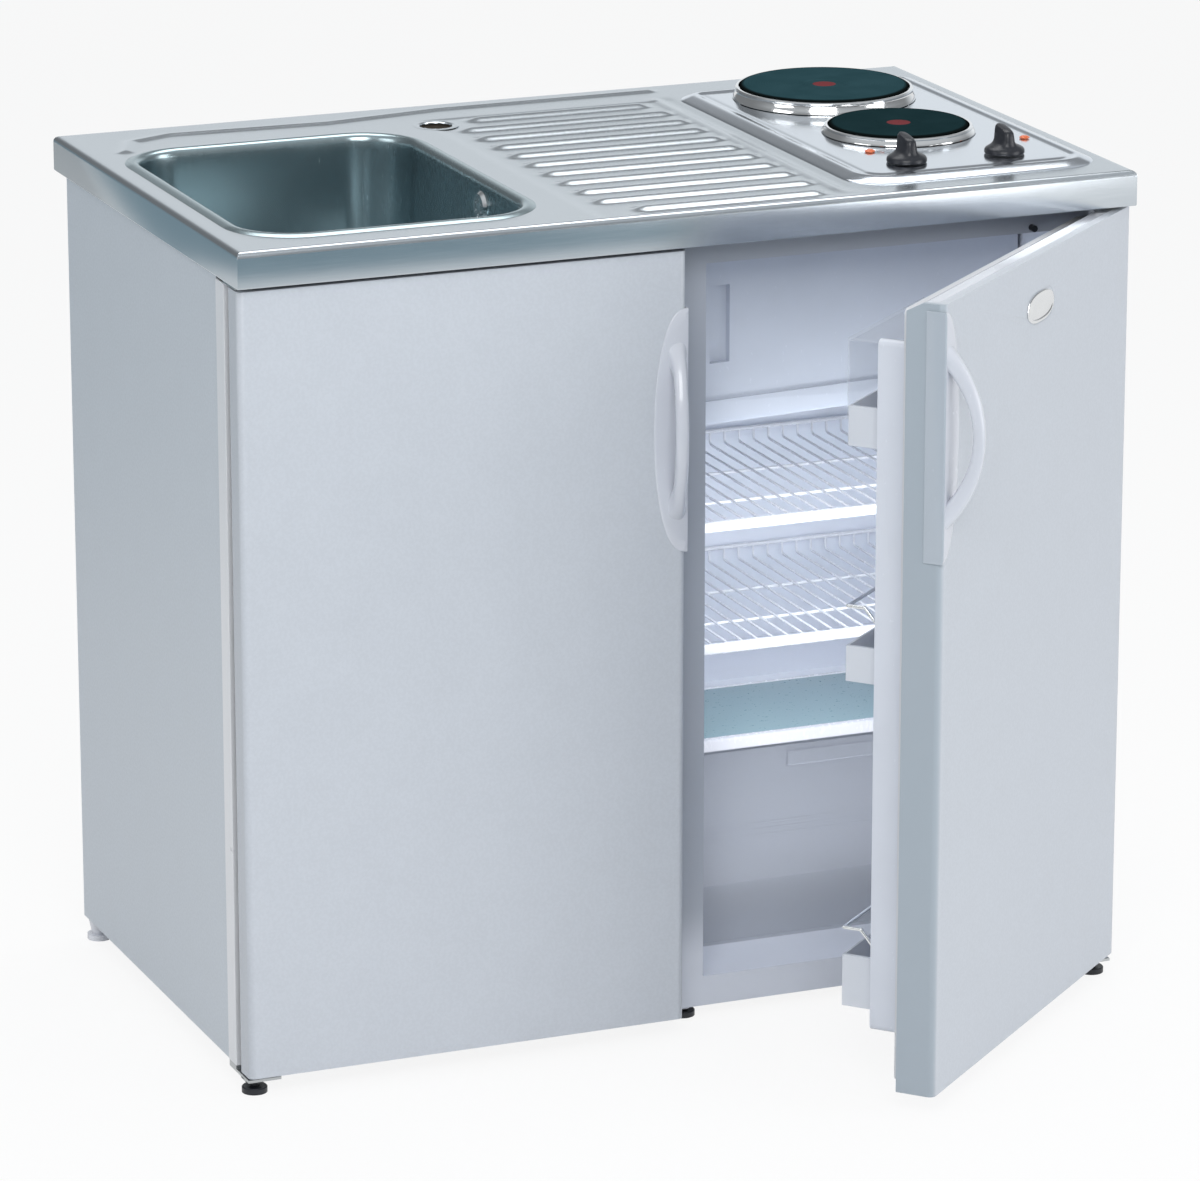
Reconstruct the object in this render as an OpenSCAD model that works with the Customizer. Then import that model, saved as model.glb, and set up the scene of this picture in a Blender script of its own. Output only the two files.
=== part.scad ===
// Compact kitchen unit: sink, drainer and two-plate hob over a cupboard and a refrigerator.
// Origin: on the floor, midway between the worktop's ends and its front and rear edges.
// X runs to the right, Y to the wall behind, Z up.

/* [Overall] */
// overall width of the worktop
unit_w = 1000; // [990:2:1040]
// depth of the worktop, front edge to wall
unit_d = 600; // [590:2:620]
// height of the worktop surface above the floor
unit_h = 900; // [890:2:920]
// height of the folded worktop edge
edge_h = 38; // [34:1:42]
// steel sheet of the cupboard
sheet_t = 0.9; // [0.8:0.1:1.5]
// height of the cupboard's shelf above the floor
ledge_z = 330; // [300:5:360]

/* [Sink and drainer] */
// length of the bowl along the worktop
bowl_w = 306; // [280:2:312]
// bowl size front to back
bowl_l = 420; // [380:2:424]
// depth of the bowl
bowl_h = 150; // [130:2:170]
// corner radius of the bowl
bowl_r = 60; // [45:1:70]
// number of drainer ribs
rib_n = 11; // [8:1:11]
// spacing of the drainer ribs
rib_pitch = 47; // [44:0.5:48]

/* [Hob] */
// width of the hob panel
hob_w = 288; // [280:2:296]
// radius of the rear hotplate
plate_rear_r = 93; // [84:1:94]
// radius of the front hotplate
plate_front_r = 75; // [68:1:77]
// height of the rear hotplate above its panel
plate_rear_h = 15; // [13:1:18]
// height of the front hotplate above its panel
plate_front_h = 10; // [9:1:13]

/* [Doors] */
// thickness of the cupboard door
cdoor_t = 38; // [34:1:38]
// thickness of the refrigerator door without its seal
fdoor_t = 42; // [38:1:42]
// how far the refrigerator door stands open
fdoor_open = 41.6; // [0:0.2:60]
// how far the freezer flap stands open
flap_open = 6; // [0:1:6]
// length of the door handles
handle_l = 262; // [240:2:270]
// rise of a handle's bow
handle_p = 42; // [38:1:46]

/* [Refrigerator] */
// wall thickness of the refrigerator
wall_t = 33; // [30:1:36]
// height of the freezer compartment
freezer_h = 198; // [180:1:206]
// space between the freezer and the upper shelf
upper_gap = 110; // [100:2:120]
// space between the two shelves
shelf_gap = 136; // [120:2:144]
// height of the crisper with its lid
crisper_h = 233; // [220:1:240]
// number of slots in a shelf
slot_n = 22; // [16:1:24]

/* [View] */
// which piece is drawn

/* [Hidden] */
$fn = 48;

// main planes
hw = unit_w / 2;
yf = -unit_d / 2;
yr = unit_d / 2;
top_t = 1.2;
edge_r = 6;
skirt_z = unit_h - edge_h;
side_x = hw - 3;
door_yf = yf + 10;
cdoor_yb = door_yf + cdoor_t;
fdoor_yb = door_yf + fdoor_t;
frame_y = cdoor_yb + 2.6;
case_yf = fdoor_yb + 10;
body_yr = yr - 35;
base_z = 24;
core_t = 19;
carcass_z = unit_h - top_t - core_t - 0.1;
door_z0 = 22;
door_z1 = skirt_z - 5;
split_x = -7;
cdoor_x0 = -side_x;
cdoor_x1 = split_x - 3;
fdoor_x0 = split_x + 3;
fdoor_x1 = side_x;
gap = 0.4;

// hinges
pin_r = 5;
pin_clr = 0.06;
hinge_dx = 17;
hinge_y = door_yf + 22;
chinge_x = -side_x + hinge_dx;
chinge_y = door_yf + 16;
fhinge_x = side_x - hinge_dx;
plate_z0 = 16.5;
plate_t = 3;
up_z = door_z1 + 1.6;

// feet
foot_r = 13.4;
foot_h = 6.5;
stem_r = 4.93;
sock_r = 5;
foot_x = hw - 16;
foot_y = yf + 34;
case_foot_y = case_yf + 16;
rear_foot_y = body_yr - 13;

// refrigerator case
case_x0 = 0;
case_x1 = side_x - 5;
case_z0 = 13;
case_z1 = up_z - 1.4;
case_yr = body_yr - 53;
cav_x0 = case_x0 + wall_t + 1;
cav_x1 = case_x1 - wall_t + 1;
cav_z0 = case_z0 + wall_t;
cav_z1 = case_z1 - wall_t + 4;
cav_yr = case_yr - wall_t - 9;
cover_z = cav_z0 + crisper_h;
hump_y = cav_yr - 138;
hump_z = cover_z + 6;
comp_x = (case_x0 + case_x1) / 2 + 54;
comp_y = hump_y + wall_t + 74;
comp_z = case_z0 + 5.5;
skin_t = 0.9;
liner_t = 1.5;
inner_y = case_yf + 86;
flap_x = cav_x1 - 11;
flap_y = case_yf + 134;
flap_z1 = cav_z1 - 4;
flap_z0 = cav_z1 - freezer_h;
shelf_hi = flap_z0 - upper_gap;
shelf_lo = shelf_hi - shelf_gap;
evap_y0 = flap_y + 14;
evap_z0 = flap_z0 + 4;

// sink
bowl_x0 = -hw + 39;
bowl_x1 = bowl_x0 + bowl_w;
bowl_y0 = yf + 55;
bowl_y1 = bowl_y0 + bowl_l;
bowl_t = 1.2;
bowl_z0 = unit_h - bowl_h;
rim_z = unit_h - top_t;
waste_x = (bowl_x0 + bowl_x1) / 2;
waste_y = (bowl_y0 + bowl_y1) / 2;
waste_r = 43;
trap_z = bowl_z0 - 34.2;
outlet_z = trap_z - 110;
tap_x = bowl_x1 + 55;
tap_y = yr - 107;
tap_r = 17.5;
rib_x0 = bowl_x1 + 65;
rib_r = 11;
rib_h = 3;
over_y = bowl_y0 + 158;
over_z = unit_h - 27;

// hob
hob_x1 = hw - 16;
hob_x0 = hob_x1 - hob_w;
hob_y0 = yf + 38;
hob_y1 = yf + 536;
hob_h = 6;
hob_z = unit_h + hob_h;
hob_cx = (hob_x0 + hob_x1) / 2;
rib_x1 = hob_x0 - 36;
plate_rear_y = hob_y1 - 91;
plate_front_y = hob_y0 + 213;
knob_y = hob_y0 + 70;
knob_dx = 57;
knob_r = 21.5;
lens_y = hob_y0 + 130;
tray_z0 = unit_h - 32;
tray_m = 16;

// door fittings and the cupboard's equipment
chandle_z = door_z1 - 190;
fhandle_z = door_z1 - 137;
badge_x = fdoor_x1 - 251;
badge_z = door_z1 - 55;
catch_z = door_z1 - 89;
shelf_yf = frame_y + 59.4;
shelf_yr = body_yr - 15;
gland_x = split_x - 83;
gland_z = skirt_z - 162;

steel = [0.80, 0.81, 0.82];
dark_steel = [0.55, 0.56, 0.57];
coat = [0.80, 0.82, 0.84];
side_coat = [0.74, 0.77, 0.80];
white = [0.90, 0.91, 0.94];
black = [0.08, 0.08, 0.09];
zinc = [0.62, 0.63, 0.64];
board = [0.62, 0.50, 0.36];
clear = [0.80, 0.86, 0.92, 0.45];
chrome_c = [0.86, 0.87, 0.88];

module box(x0, x1, y0, y1, z0, z1) {
    translate([x0, y0, z0]) cube([x1 - x0, y1 - y0, z1 - z0]);
}

// rounded rectangle in the plane
module rrect(x0, x1, y0, y1, r) {
    translate([x0 + r, y0]) square([x1 - x0 - 2 * r, y1 - y0]);
    translate([x0, y0 + r]) square([x1 - x0, y1 - y0 - 2 * r]);
    for (x = [x0 + r, x1 - r], y = [y0 + r, y1 - r]) translate([x, y]) circle(r);
}

module slab(x0, x1, y0, y1, z0, z1, r) {
    translate([0, 0, z0]) linear_extrude(z1 - z0) rrect(x0, x1, y0, y1, r);
}

// block with rounded upright corners rv and a rolled lower edge rb
module pan(x0, x1, y0, y1, z0, z1, rv, rb) {
    slab(x0, x1, y0, y1, z0 + rb, z1, rv);
    slab(x0 + rb, x1 - rb, y0 + rb, y1 - rb, z0, z0 + rb, rv - rb);
    for (y = [y0 + rb, y1 - rb])
        translate([x0 + rv, y, z0 + rb]) rotate([0, 90, 0]) cylinder(x1 - x0 - 2 * rv, rb, rb);
    for (x = [x0 + rb, x1 - rb])
        translate([x, y0 + rv, z0 + rb]) rotate([-90, 0, 0]) cylinder(y1 - y0 - 2 * rv, rb, rb);
    for (x = [x0 + rv, x1 - rv], y = [y0 + rv, y1 - rv])
        translate([x, y, z0 + rb]) rotate_extrude() translate([rv - rb, 0]) intersection() {
            circle(rb);
            translate([0, -rb]) square([rb, rb]);
        }
}

// block whose four upper edges are rolled, mitred at the corners
module rolled_top(x0, x1, y0, y1, z0, z1, r) intersection() {
    translate([x0, 0, 0]) rotate([90, 0, 90]) linear_extrude(x1 - x0) rolled_profile(y0, y1, z0, z1, r);
    translate([0, y1, 0]) rotate([90, 0, 0]) linear_extrude(y1 - y0) rolled_profile(x0, x1, z0, z1, r);
}

module rolled_profile(a0, a1, z0, z1, r) {
    translate([a0 + r, z0]) square([a1 - a0 - 2 * r, z1 - z0]);
    translate([a0, z0]) square([a1 - a0, z1 - z0 - r]);
    for (a = [a0 + r, a1 - r]) translate([a, z1 - r]) circle(r);
}

module rod(a, b, r) {
    v = b - a;
    l = norm(v);
    translate(a) rotate([0, acos(v[2] / l), atan2(v[1], v[0])]) cylinder(l, r, r);
}

module chain_rod(pts, r) {
    for (i = [0 : len(pts) - 2]) rod(pts[i], pts[i + 1], r);
    for (i = [1 : len(pts) - 2]) translate(pts[i]) sphere(r * 1.04);
}

module at_fdoor() {
    translate([fhinge_x, hinge_y, 0]) rotate([0, 0, fdoor_open])
        translate([-fhinge_x, -hinge_y, 0]) children();
}

module at_flap() {
    translate([flap_x, flap_y, 0]) rotate([0, 0, flap_open])
        translate([-flap_x, -flap_y, 0]) children();
}

// ---------------------------------------------------------------- worktop and sink

module worktop() color(steel) {
    difference() {
        rolled_top(-hw, hw, yf, yr, skirt_z, unit_h, edge_r);
        rolled_top(-hw + top_t, hw - top_t, yf + top_t, yr - top_t, skirt_z - 10, rim_z,
            edge_r - top_t);
        translate([0, 0, rim_z - 2]) linear_extrude(10) {
            rrect(bowl_x0, bowl_x1, bowl_y0, bowl_y1, bowl_r);
            translate([tap_x, tap_y]) circle(tap_r);
            rrect(hob_x0 + tray_m - 4, hob_x1 - tray_m + 4, hob_y0 + tray_m, hob_y1 - tray_m, 12);
        }
    }
    // folded return under the front edge
    box(-hw + 8, hw - 8, yf + top_t, yf + 13, skirt_z, skirt_z + top_t);
    // drainer ribs pressed up from the sheet
    for (i = [0 : rib_n - 1]) rib_bead(i);
    // pressed border behind the bowl and the drainer
    border_bead();
}

module rib_bead(i) {
    y = yr - 97 - i * rib_pitch;
    in = (i == 0 || i == rib_n - 1) ? 30 : 0;
    translate([rib_x0 + in, y, unit_h]) rotate([90, 0, 90])
        linear_extrude(rib_x1 - rib_x0 - in * 2 / 3) rib_profile();
}

module rib_profile() intersection() {
    translate([0, rib_h - rib_r]) circle(rib_r);
    translate([-rib_r, -top_t]) square([2 * rib_r, top_t + rib_h + 1]);
}

border_pts = [
    [bowl_x0 + 7, yr - 110], [bowl_x0 + 29, yr - 64], [bowl_x0 + 76, yr - 45], [bowl_x1 - 50, yr - 53],
    [rib_x0 + 20, yr - 32], [hob_x0 - 14, yr - 30]
];
border_w = 7;

module border_bead() translate([0, 0, rim_z]) linear_extrude(top_t + 1.4) {
    for (i = [0 : len(border_pts) - 2]) {
        a = border_pts[i];
        v = border_pts[i + 1] - a;
        translate(a) rotate(atan2(v[1], v[0])) translate([0, -border_w / 2]) square([norm(v), border_w]);
    }
    for (p = border_pts) translate(p) circle(border_w / 2 + 0.1);
}

module worktop_core() color(board) {
    difference() {
        box(-hw + edge_r + 0.5, hw - edge_r - 0.5, yf + 14, yr - edge_r - 0.5, rim_z - core_t, rim_z);
        translate([0, 0, rim_z - core_t - 1]) linear_extrude(core_t + 2) {
            rrect(bowl_x0 - 19, bowl_x1 + 26, bowl_y0 - 19, bowl_y1 + 19, bowl_r + 16);
            translate([tap_x, tap_y]) circle(tap_r + 7);
            rrect(hob_x0 + tray_m - 7, hob_x1 - tray_m + 7, hob_y0 + tray_m - 1, hob_y1 - tray_m + 3, 14);
        }
    }
}

module sink_bowl() color(steel) difference() {
    union() {
        pan(bowl_x0, bowl_x1, bowl_y0, bowl_y1, bowl_z0 - bowl_t, rim_z, bowl_r, 34);
        slab(bowl_x0 - 15, bowl_x1 + 15, bowl_y0 - 15, bowl_y1 + 15, rim_z - bowl_t, rim_z, bowl_r + 12);
    }
    pan(bowl_x0 + bowl_t, bowl_x1 - bowl_t, bowl_y0 + bowl_t, bowl_y1 - bowl_t, bowl_z0,
        rim_z + 1, bowl_r - bowl_t, 34 - bowl_t);
    translate([waste_x, waste_y, bowl_z0 - 5]) cylinder(10, waste_r - 1, waste_r - 1);
    translate([bowl_x1 - 5, over_y, over_z]) rotate([0, 90, 0]) cylinder(10, 9, 9);
}

// strainer basket in the waste and rosette on the overflow
module sink_fittings() color(chrome_c) {
    translate([waste_x, waste_y, 0]) difference() {
        union() {
            translate([0, 0, bowl_z0]) cylinder(2, waste_r + 9, waste_r + 6);
            translate([0, 0, bowl_z0 - 34]) cylinder(34.5, waste_r - 1.5, waste_r - 1.5);
        }
        translate([0, 0, bowl_z0 - 32.5]) cylinder(40, waste_r - 3.5, waste_r - 3.5);
        for (a = [0 : 45 : 315]) rotate(a) translate([22, 0, bowl_z0 - 40]) cylinder(12, 4, 4);
        translate([0, 0, bowl_z0 - 40]) cylinder(12, 4, 4);
    }
    translate([bowl_x1 - bowl_t, over_y, over_z]) rotate([0, -90, 0]) difference() {
        cylinder(4, 17, 14);
        translate([0, 0, -1]) for (a = [0 : 60 : 300]) rotate(a) translate([8, 0, 0]) cylinder(7, 2.6, 2.6);
    }
}

module waste_trap() color(white) {
    overflow_pipe();
    trap_body();
}

// outlet of the waste pipe
spigot_r = 20;

module trap_body() translate([waste_x, waste_y, 0]) {
    z = trap_z;
    difference() {
        union() {
            translate([0, 0, z - 26]) cylinder(26, waste_r + 3, waste_r + 3);
            translate([0, 0, z - 70]) cylinder(50, 20, 20);
            translate([0, 0, z - 84]) cylinder(18, 29, 29);
            translate([0, 0, z - 186]) cylinder(106, 36, 36);
            translate([0, 0, z - 200]) cylinder(20, 41, 41);
            translate([0, 0, outlet_z]) rotate([-90, 0, 0]) cylinder(body_yr + 1 - waste_y, 21, 21);
            translate([0, 0, outlet_z]) rotate([-90, 0, 0]) cylinder(yr - waste_y - 15, spigot_r, spigot_r);
            translate([0, 28, outlet_z]) rotate([-90, 0, 0]) cylinder(30, 28, 28);
            translate([18, 0, z - 13]) rotate([0, 90, 0]) cylinder(waste_r + 8, 11, 11);
        }
        translate([0, 0, z - 22]) cylinder(24, waste_r - 1, waste_r - 1);
        translate([0, 0, z - 180]) cylinder(180, 17, 17);
        translate([0, 0, outlet_z]) rotate([-90, 0, 0]) cylinder(yr - waste_y, 13, 13);
    }
}

module overflow_pipe() {
    x = bowl_x1 + 14;
    z0 = trap_z - 13;
    ex = waste_x + waste_r + 26.2;
    difference() {
        union() {
            translate([bowl_x1 + 0.2, over_y, over_z]) rotate([0, 90, 0]) cylinder(4, 18, 18);
            chain_rod([[bowl_x1 + 2, over_y, over_z], [x, over_y, over_z], [x, over_y, z0],
                [x, waste_y, z0], [ex, waste_y, z0]], 10.5);
        }
        translate([bowl_x1 - 1, over_y, over_z]) rotate([0, 90, 0]) cylinder(10, 8, 8);
    }
}

// chain from the rosette with its rubber plug
module plug_chain() color(dark_steel) {
    n = 10;
    a = [bowl_x1 - bowl_t - 7, over_y, over_z - 12];
    b = [bowl_x1 - 56, over_y - 40, bowl_z0 + 13];
    chain_rod([for (i = [0 : n]) a + (b - a) * i / n + [0, 0, -46 * i / n * (1 - i / n)]], 1.5);
    translate(a + [-1, 0, 1]) rotate([0, 90, 0]) cylinder(8, 1.4, 1.4);
    translate([b[0], b[1], bowl_z0 + 1]) cylinder(9, 18, 20);
    translate([b[0], b[1], bowl_z0 + 9]) cylinder(4, 23, 23);
}

// ---------------------------------------------------------------- hob

module hob_panel() color(steel) difference() {
    hob_block(0, unit_h, hob_r);
    hob_block(hob_t, unit_h - 4, hob_r - hob_t);
    for (p = [[plate_rear_y, plate_rear_r], [plate_front_y, plate_front_r]])
        translate([hob_cx, p[0], unit_h]) cylinder(20, p[1] - 5, p[1] - 5);
    for (s = [-1, 1]) {
        translate([hob_cx + s * knob_dx, knob_y, unit_h]) cylinder(20, 6, 6);
        translate([lens_x(s), lens_y, unit_h]) cylinder(20, 4, 4);
    }
}

hob_t = 1.2;
hob_r = 4.5;

// block of the hob's outline drawn in by o, with rolled upper edges and rounded corners
module hob_block(o, z0, r) intersection() {
    rolled_top(hob_x0 + o, hob_x1 - o, hob_y0 + o, hob_y1 - o, unit_h - 8, hob_z - o, r);
    slab(hob_x0 + o - 0.3, hob_x1 - o + 0.3, hob_y0 + o - 0.3, hob_y1 - o + 0.3, z0, hob_z + 1, 30 - o);
}

function lens_x(s) = hob_cx + (s < 0 ? -72 : 110);

module hob_tray() color(dark_steel) difference() {
    box(hob_x0 + tray_m, hob_x1 - tray_m, hob_y0 + tray_m + 8, hob_y1 - tray_m - 6, tray_z0, unit_h - 0.3);
    box(hob_x0 + tray_m + 1, hob_x1 - tray_m - 1, hob_y0 + tray_m + 9, hob_y1 - tray_m - 7,
        tray_z0 + 1, unit_h + 1);
}

module hotplate(y, r, h) color([0.13, 0.17, 0.17]) translate([hob_cx, y, 0]) {
    difference() {
        union() {
            translate([0, 0, hob_z + h - 9]) cylinder(7, r, r);
            translate([0, 0, hob_z + h - 2]) cylinder(2, r, r - 2);
            translate([0, 0, hob_z - 4]) cylinder(h - 4.9, r - 8, r - 8);
        }
        translate([0, 0, hob_z + h - 1.4]) cylinder(3, 21, 22.5);
    }
    translate([0, 0, hob_z + h - 1.5]) cylinder(1, 13.5, 12.5);
    translate([0, 0, tray_z0 + 6]) cylinder(hob_z - 4 - tray_z0 - 6, 3, 3);
    translate([-r + 20, -8, tray_z0 + 9]) cube([2 * r - 40, 16, 2]);
    translate([0, 0, tray_z0 + 11]) cylinder(5, 6, 6, $fn = 6);
}

module plate_rear() hotplate(plate_rear_y, plate_rear_r, plate_rear_h);
module plate_front() hotplate(plate_front_y, plate_front_r, plate_front_h);

module trim_rings() color(chrome_c)
    for (p = [[plate_rear_y, plate_rear_r, plate_rear_h], [plate_front_y, plate_front_r, plate_front_h]])
        translate([hob_cx, p[0], hob_z]) rotate_extrude() {
            r = p[1];
            h = p[2];
            polygon([[r - 6, 0], [r + 8, 0], [r + 8, 1.2], [r + 6, h * 0.35], [r + 3.6, h - 6],
                [r + 3.2, h - 3.4], [r + 0.2, h - 3.4], [r + 0.2, h - 9.4 + 0.2], [r - 6, h - 9.4 + 0.2]]);
            translate([r + 3.2, h - 4.2]) circle(2);
        }

module hob_switches() color(white) for (s = [-1, 1])
    translate([hob_cx + s * knob_dx, knob_y, 0]) difference() {
        union() {
            translate([-20, -18, tray_z0 + 2]) cube([40, 36, 22]);
            translate([0, 0, tray_z0 + 24]) cylinder(hob_z - 1.5 - tray_z0 - 24, 9, 9);
            for (i = [-12, -4, 4, 12]) translate([i - 1.5, -19.5, tray_z0 + 6]) cube([3, 5, 1.2]);
        }
        translate([0, 0, tray_z0 + 8]) cylinder(60, 3, 3);
    }

module indicator_lenses() color([0.85, 0.35, 0.15]) for (s = [-1, 1])
    translate([lens_x(s), lens_y, 0]) {
        translate([0, 0, unit_h - 8]) cylinder(hob_h + 8, 3.9, 3.9);
        translate([0, 0, hob_z]) cylinder(1, 5.5, 5.5);
        translate([0, 0, hob_z + 1]) cylinder(1.4, 4.6, 3);
    }

module knob(s) color(black) translate([hob_cx + s * knob_dx, knob_y, hob_z + 0.8]) {
    cylinder(4.5, knob_r, knob_r - 0.6);
    translate([0, 0, 4.5]) cylinder(7, knob_r - 0.6, 11.5);
    // finger wing with a sloping crest
    intersection() {
        translate([-5.5, 0, 0]) rotate([90, 0, 90]) linear_extrude(11)
            polygon([[-19, 4], [19, 4], [17, 27], [9, 29.5], [-13, 20], [-17, 13]]);
        cylinder(40, knob_r - 1, knob_r - 1);
    }
    translate([0, 0, tray_z0 + 12 - hob_z]) cylinder(hob_z - tray_z0 - 10, 2.94, 2.94);
}

module knob_left() knob(-1);
module knob_right() knob(1);

// ---------------------------------------------------------------- cupboard body

module side_left() color(side_coat) {
    box(-side_x, -side_x + sheet_t, frame_y + 24.6, body_yr, base_z, carcass_z);
    box(-side_x + sheet_t, -side_x + 20, body_yr - sheet_t, body_yr, base_z, carcass_z);
    box(-side_x + sheet_t, -side_x + 20, frame_y + 25, body_yr - sheet_t, carcass_z - sheet_t, carcass_z);
    // ledge that carries the cupboard shelf
    box(-side_x + sheet_t, -side_x + 14, shelf_yf, shelf_yr - 10, ledge_z - sheet_t, ledge_z);
}

module side_right() color(side_coat) {
    box(side_x - sheet_t, side_x, case_yf + 1, body_yr, base_z, carcass_z);
    box(side_x - 20, side_x - sheet_t, body_yr - sheet_t, body_yr, base_z, carcass_z);
    box(side_x - 20, side_x - sheet_t, case_yf + 40, body_yr - sheet_t, carcass_z - sheet_t, carcass_z);
    box(side_x - 36, side_x - sheet_t, case_yr + 14, body_yr - sheet_t, base_z, base_z + sheet_t);
}

module back_panel() color(zinc) difference() {
    box(-side_x + 20.4, split_x - 0.6, body_yr - sheet_t, body_yr, base_z + 2, carcass_z);
    translate([waste_x, body_yr - 10, outlet_z]) rotate([-90, 0, 0]) cylinder(20, 28, 28);
    translate([gland_x, body_yr - 10, gland_z]) rotate([-90, 0, 0]) cylinder(20, 12, 12);
    for (i = [0 : 5])
        box(waste_x - 22 + i * 40, waste_x + 2 + i * 40, body_yr - 10, body_yr + 10,
            base_z + 96, base_z + 102);
}

module base_panel() color(coat) {
    box(-side_x + sheet_t + 0.2, split_x - 0.2, frame_y + 25, body_yr - sheet_t - 0.2,
        base_z, base_z + sheet_t);
    box(-side_x + sheet_t + 0.2, split_x - 0.2, body_yr - 2 * sheet_t - 0.2, body_yr - sheet_t - 0.2,
        base_z + sheet_t, base_z + 20);
}

module partition() color(coat) {
    box(split_x, split_x + sheet_t, frame_y + 24.6, body_yr, base_z, skirt_z - 0.5);
    box(split_x - 14, split_x, shelf_yf, shelf_yr - 10, ledge_z - sheet_t, ledge_z);
}

// folded front frame of the cupboard
module face_frame() color(white) {
    z1 = up_z - 0.4;
    x0 = -side_x - 0.8;
    x1 = split_x + sheet_t;
    for (x = [x0, x1 - 18]) {
        w = x == x0 ? 26 : 18;
        difference() {
            box(x, x + w, frame_y, frame_y + 24.4, base_z, z1);
            box(x + 1.5, x + w - 1.5, frame_y + 1.5, frame_y + 22.9, base_z - 1, z1 + 1);
        }
    }
    difference() {
        box(x0 + 26, x1 - 18, frame_y, frame_y + 24.4, base_z, base_z + 16);
        box(x0 + 20, x1 - 10, frame_y + 1.5, frame_y + 22.9, base_z + 1.5, base_z + 14.5);
    }
    // flat top rail in front of the bowl
    box(x0 + 26, x1 - 18, frame_y, frame_y + 2, z1 - 16, z1);
}

module cross_rails() color(zinc) {
    box(-side_x + 20.4, side_x - 20.4, frame_y, frame_y + 2, skirt_z, carcass_z);
    difference() {
        box(-side_x + 20.4, side_x - 20.4, body_yr - 25, body_yr - 5, skirt_z, carcass_z);
        box(-side_x + 10, side_x - 10, body_yr - 23.5, body_yr - 6.5, skirt_z - 1, carcass_z - 1.5);
    }
}

module cabinet_shelf() color(coat) {
    x0 = -side_x + sheet_t + 1;
    x1 = split_x - 1;
    box(x0, x1, shelf_yf, shelf_yr, ledge_z + 0.1, ledge_z + 0.1 + sheet_t);
    for (y = [shelf_yf, shelf_yr - sheet_t]) box(x0, x1, y, y + sheet_t, ledge_z + 0.5, ledge_z + 16);
}

// hinge plates with their pins; the lower ones carry the front feet
module hinge_brackets() color(zinc) {
    for (s = [-1, 1]) {
        x = s < 0 ? chinge_x : fhinge_x;
        y = s < 0 ? chinge_y : hinge_y;
        xo = s * side_x;
        // lower plate, socket and pin
        difference() {
            union() {
                box(min(xo, xo - s * 36), max(xo, xo - s * 36), door_yf + 5, case_yf - 2,
                    plate_z0, plate_z0 + plate_t);
                translate([s * foot_x, foot_y, foot_h + 2.5])
                    cylinder(plate_z0 - foot_h - 2.5, 8, 14);
                translate([x, y, plate_z0 + plate_t])
                    cylinder(door_z0 + 18 - plate_z0 - plate_t, pin_r, pin_r);
                translate([x, y, plate_z0 + plate_t]) cylinder(1.6, 9, 9);
            }
            translate([s * foot_x, foot_y, 0]) cylinder(plate_z0, sock_r, sock_r);
        }
        // upper plate and pin
        box(min(xo, xo - s * 36), max(xo, xo - s * 36), door_yf + 8, frame_y + 4,
            up_z, up_z + plate_t - 0.2);
        translate([x, y, door_z1 - 18]) cylinder(up_z - door_z1 + 18, pin_r, pin_r);
    }
    // left lower plate reaches back under the front frame
    box(-side_x, -side_x + 36, case_yf - 2, frame_y + 24, plate_z0, plate_z0 + plate_t);
    box(-side_x, -side_x + 36, frame_y + 3, frame_y + 24, plate_z0 + plate_t, base_z - 0.1);
    // right lower plate has a tab beside the case
    box(side_x - 4.2, side_x - 1.6, case_yf - 4, case_yf + 50, plate_z0, plate_z0 + 73);
    // upper plates reach back under the cross rail
    for (x = [-side_x + 1.5, side_x - 36])
        box(x, x + 34.5, frame_y + 3.9, frame_y + 24, up_z, up_z + plate_t - 0.2);
}

// threaded sockets of the case feet, and the fixed rear glides
module foot_sockets() color(white) {
    for (x = case_foot_xs) translate([x, case_foot_y, 0]) difference() {
        translate([0, 0, foot_h + 2]) cylinder(24, 8, 8);
        translate([0, 0, foot_h]) cylinder(24, sock_r, sock_r);
    }
    for (s = [-1, 1]) translate([s * foot_x, rear_foot_y, 0]) {
        cylinder(6, foot_r, foot_r);
        translate([0, 0, 6]) cylinder(base_z - 6, 8, 12);
    }
    for (x = case_foot_xs) translate([x, comp_y + 46, 0]) {
        cylinder(6, foot_r, foot_r);
        translate([0, 0, 6]) cylinder(comp_z - 6, 8, 12);
    }
}

case_foot_xs = [case_x0 + 17, case_x1 - 17];

module magnet_catch() color(white) {
    x1 = split_x + sheet_t - 18;
    box(x1 - 44, x1 - 0.1, frame_y + 24.5, frame_y + 40, catch_z - 8, catch_z + 8);
    box(x1 - 40, x1 - 6, frame_y - 1, frame_y + 24.6, catch_z - 5, catch_z + 5);
}

module terminal_box() color(white) difference() {
    y = body_yr - sheet_t - 0.2;
    union() {
        box(gland_x - 50, gland_x + 50, y - 34, y, gland_z - 45, gland_z + 45);
        translate([gland_x, y - 0.1, gland_z]) rotate([-90, 0, 0]) cylinder(14.1, 10, 10);
    }
    translate([gland_x, y - 20, gland_z]) rotate([-90, 0, 0]) cylinder(40, 6, 6);
    box(gland_x - 47, gland_x + 47, y - 31, y - 3, gland_z - 42, gland_z + 42);
}

// ---------------------------------------------------------------- refrigerator case

// side outline of the case, drawn in by o, with the machine recess at the lower rear
module case_outline(y0, o, oy) polygon([[y0, case_z0 + o], [hump_y + wall_t - o, case_z0 + o],
    [hump_y + wall_t - o, hump_z - wall_t + o], [case_yr - oy, hump_z - wall_t + o],
    [case_yr - oy, case_z1 - o + (o > 5 ? 4 : 0)], [y0, case_z1 - o + (o > 5 ? 4 : 0)]]);

module case_solid(x0, x1, y0, o, oy) translate([x0, 0, 0]) rotate([90, 0, 90])
    linear_extrude(x1 - x0) case_outline(y0, o, oy);

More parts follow.
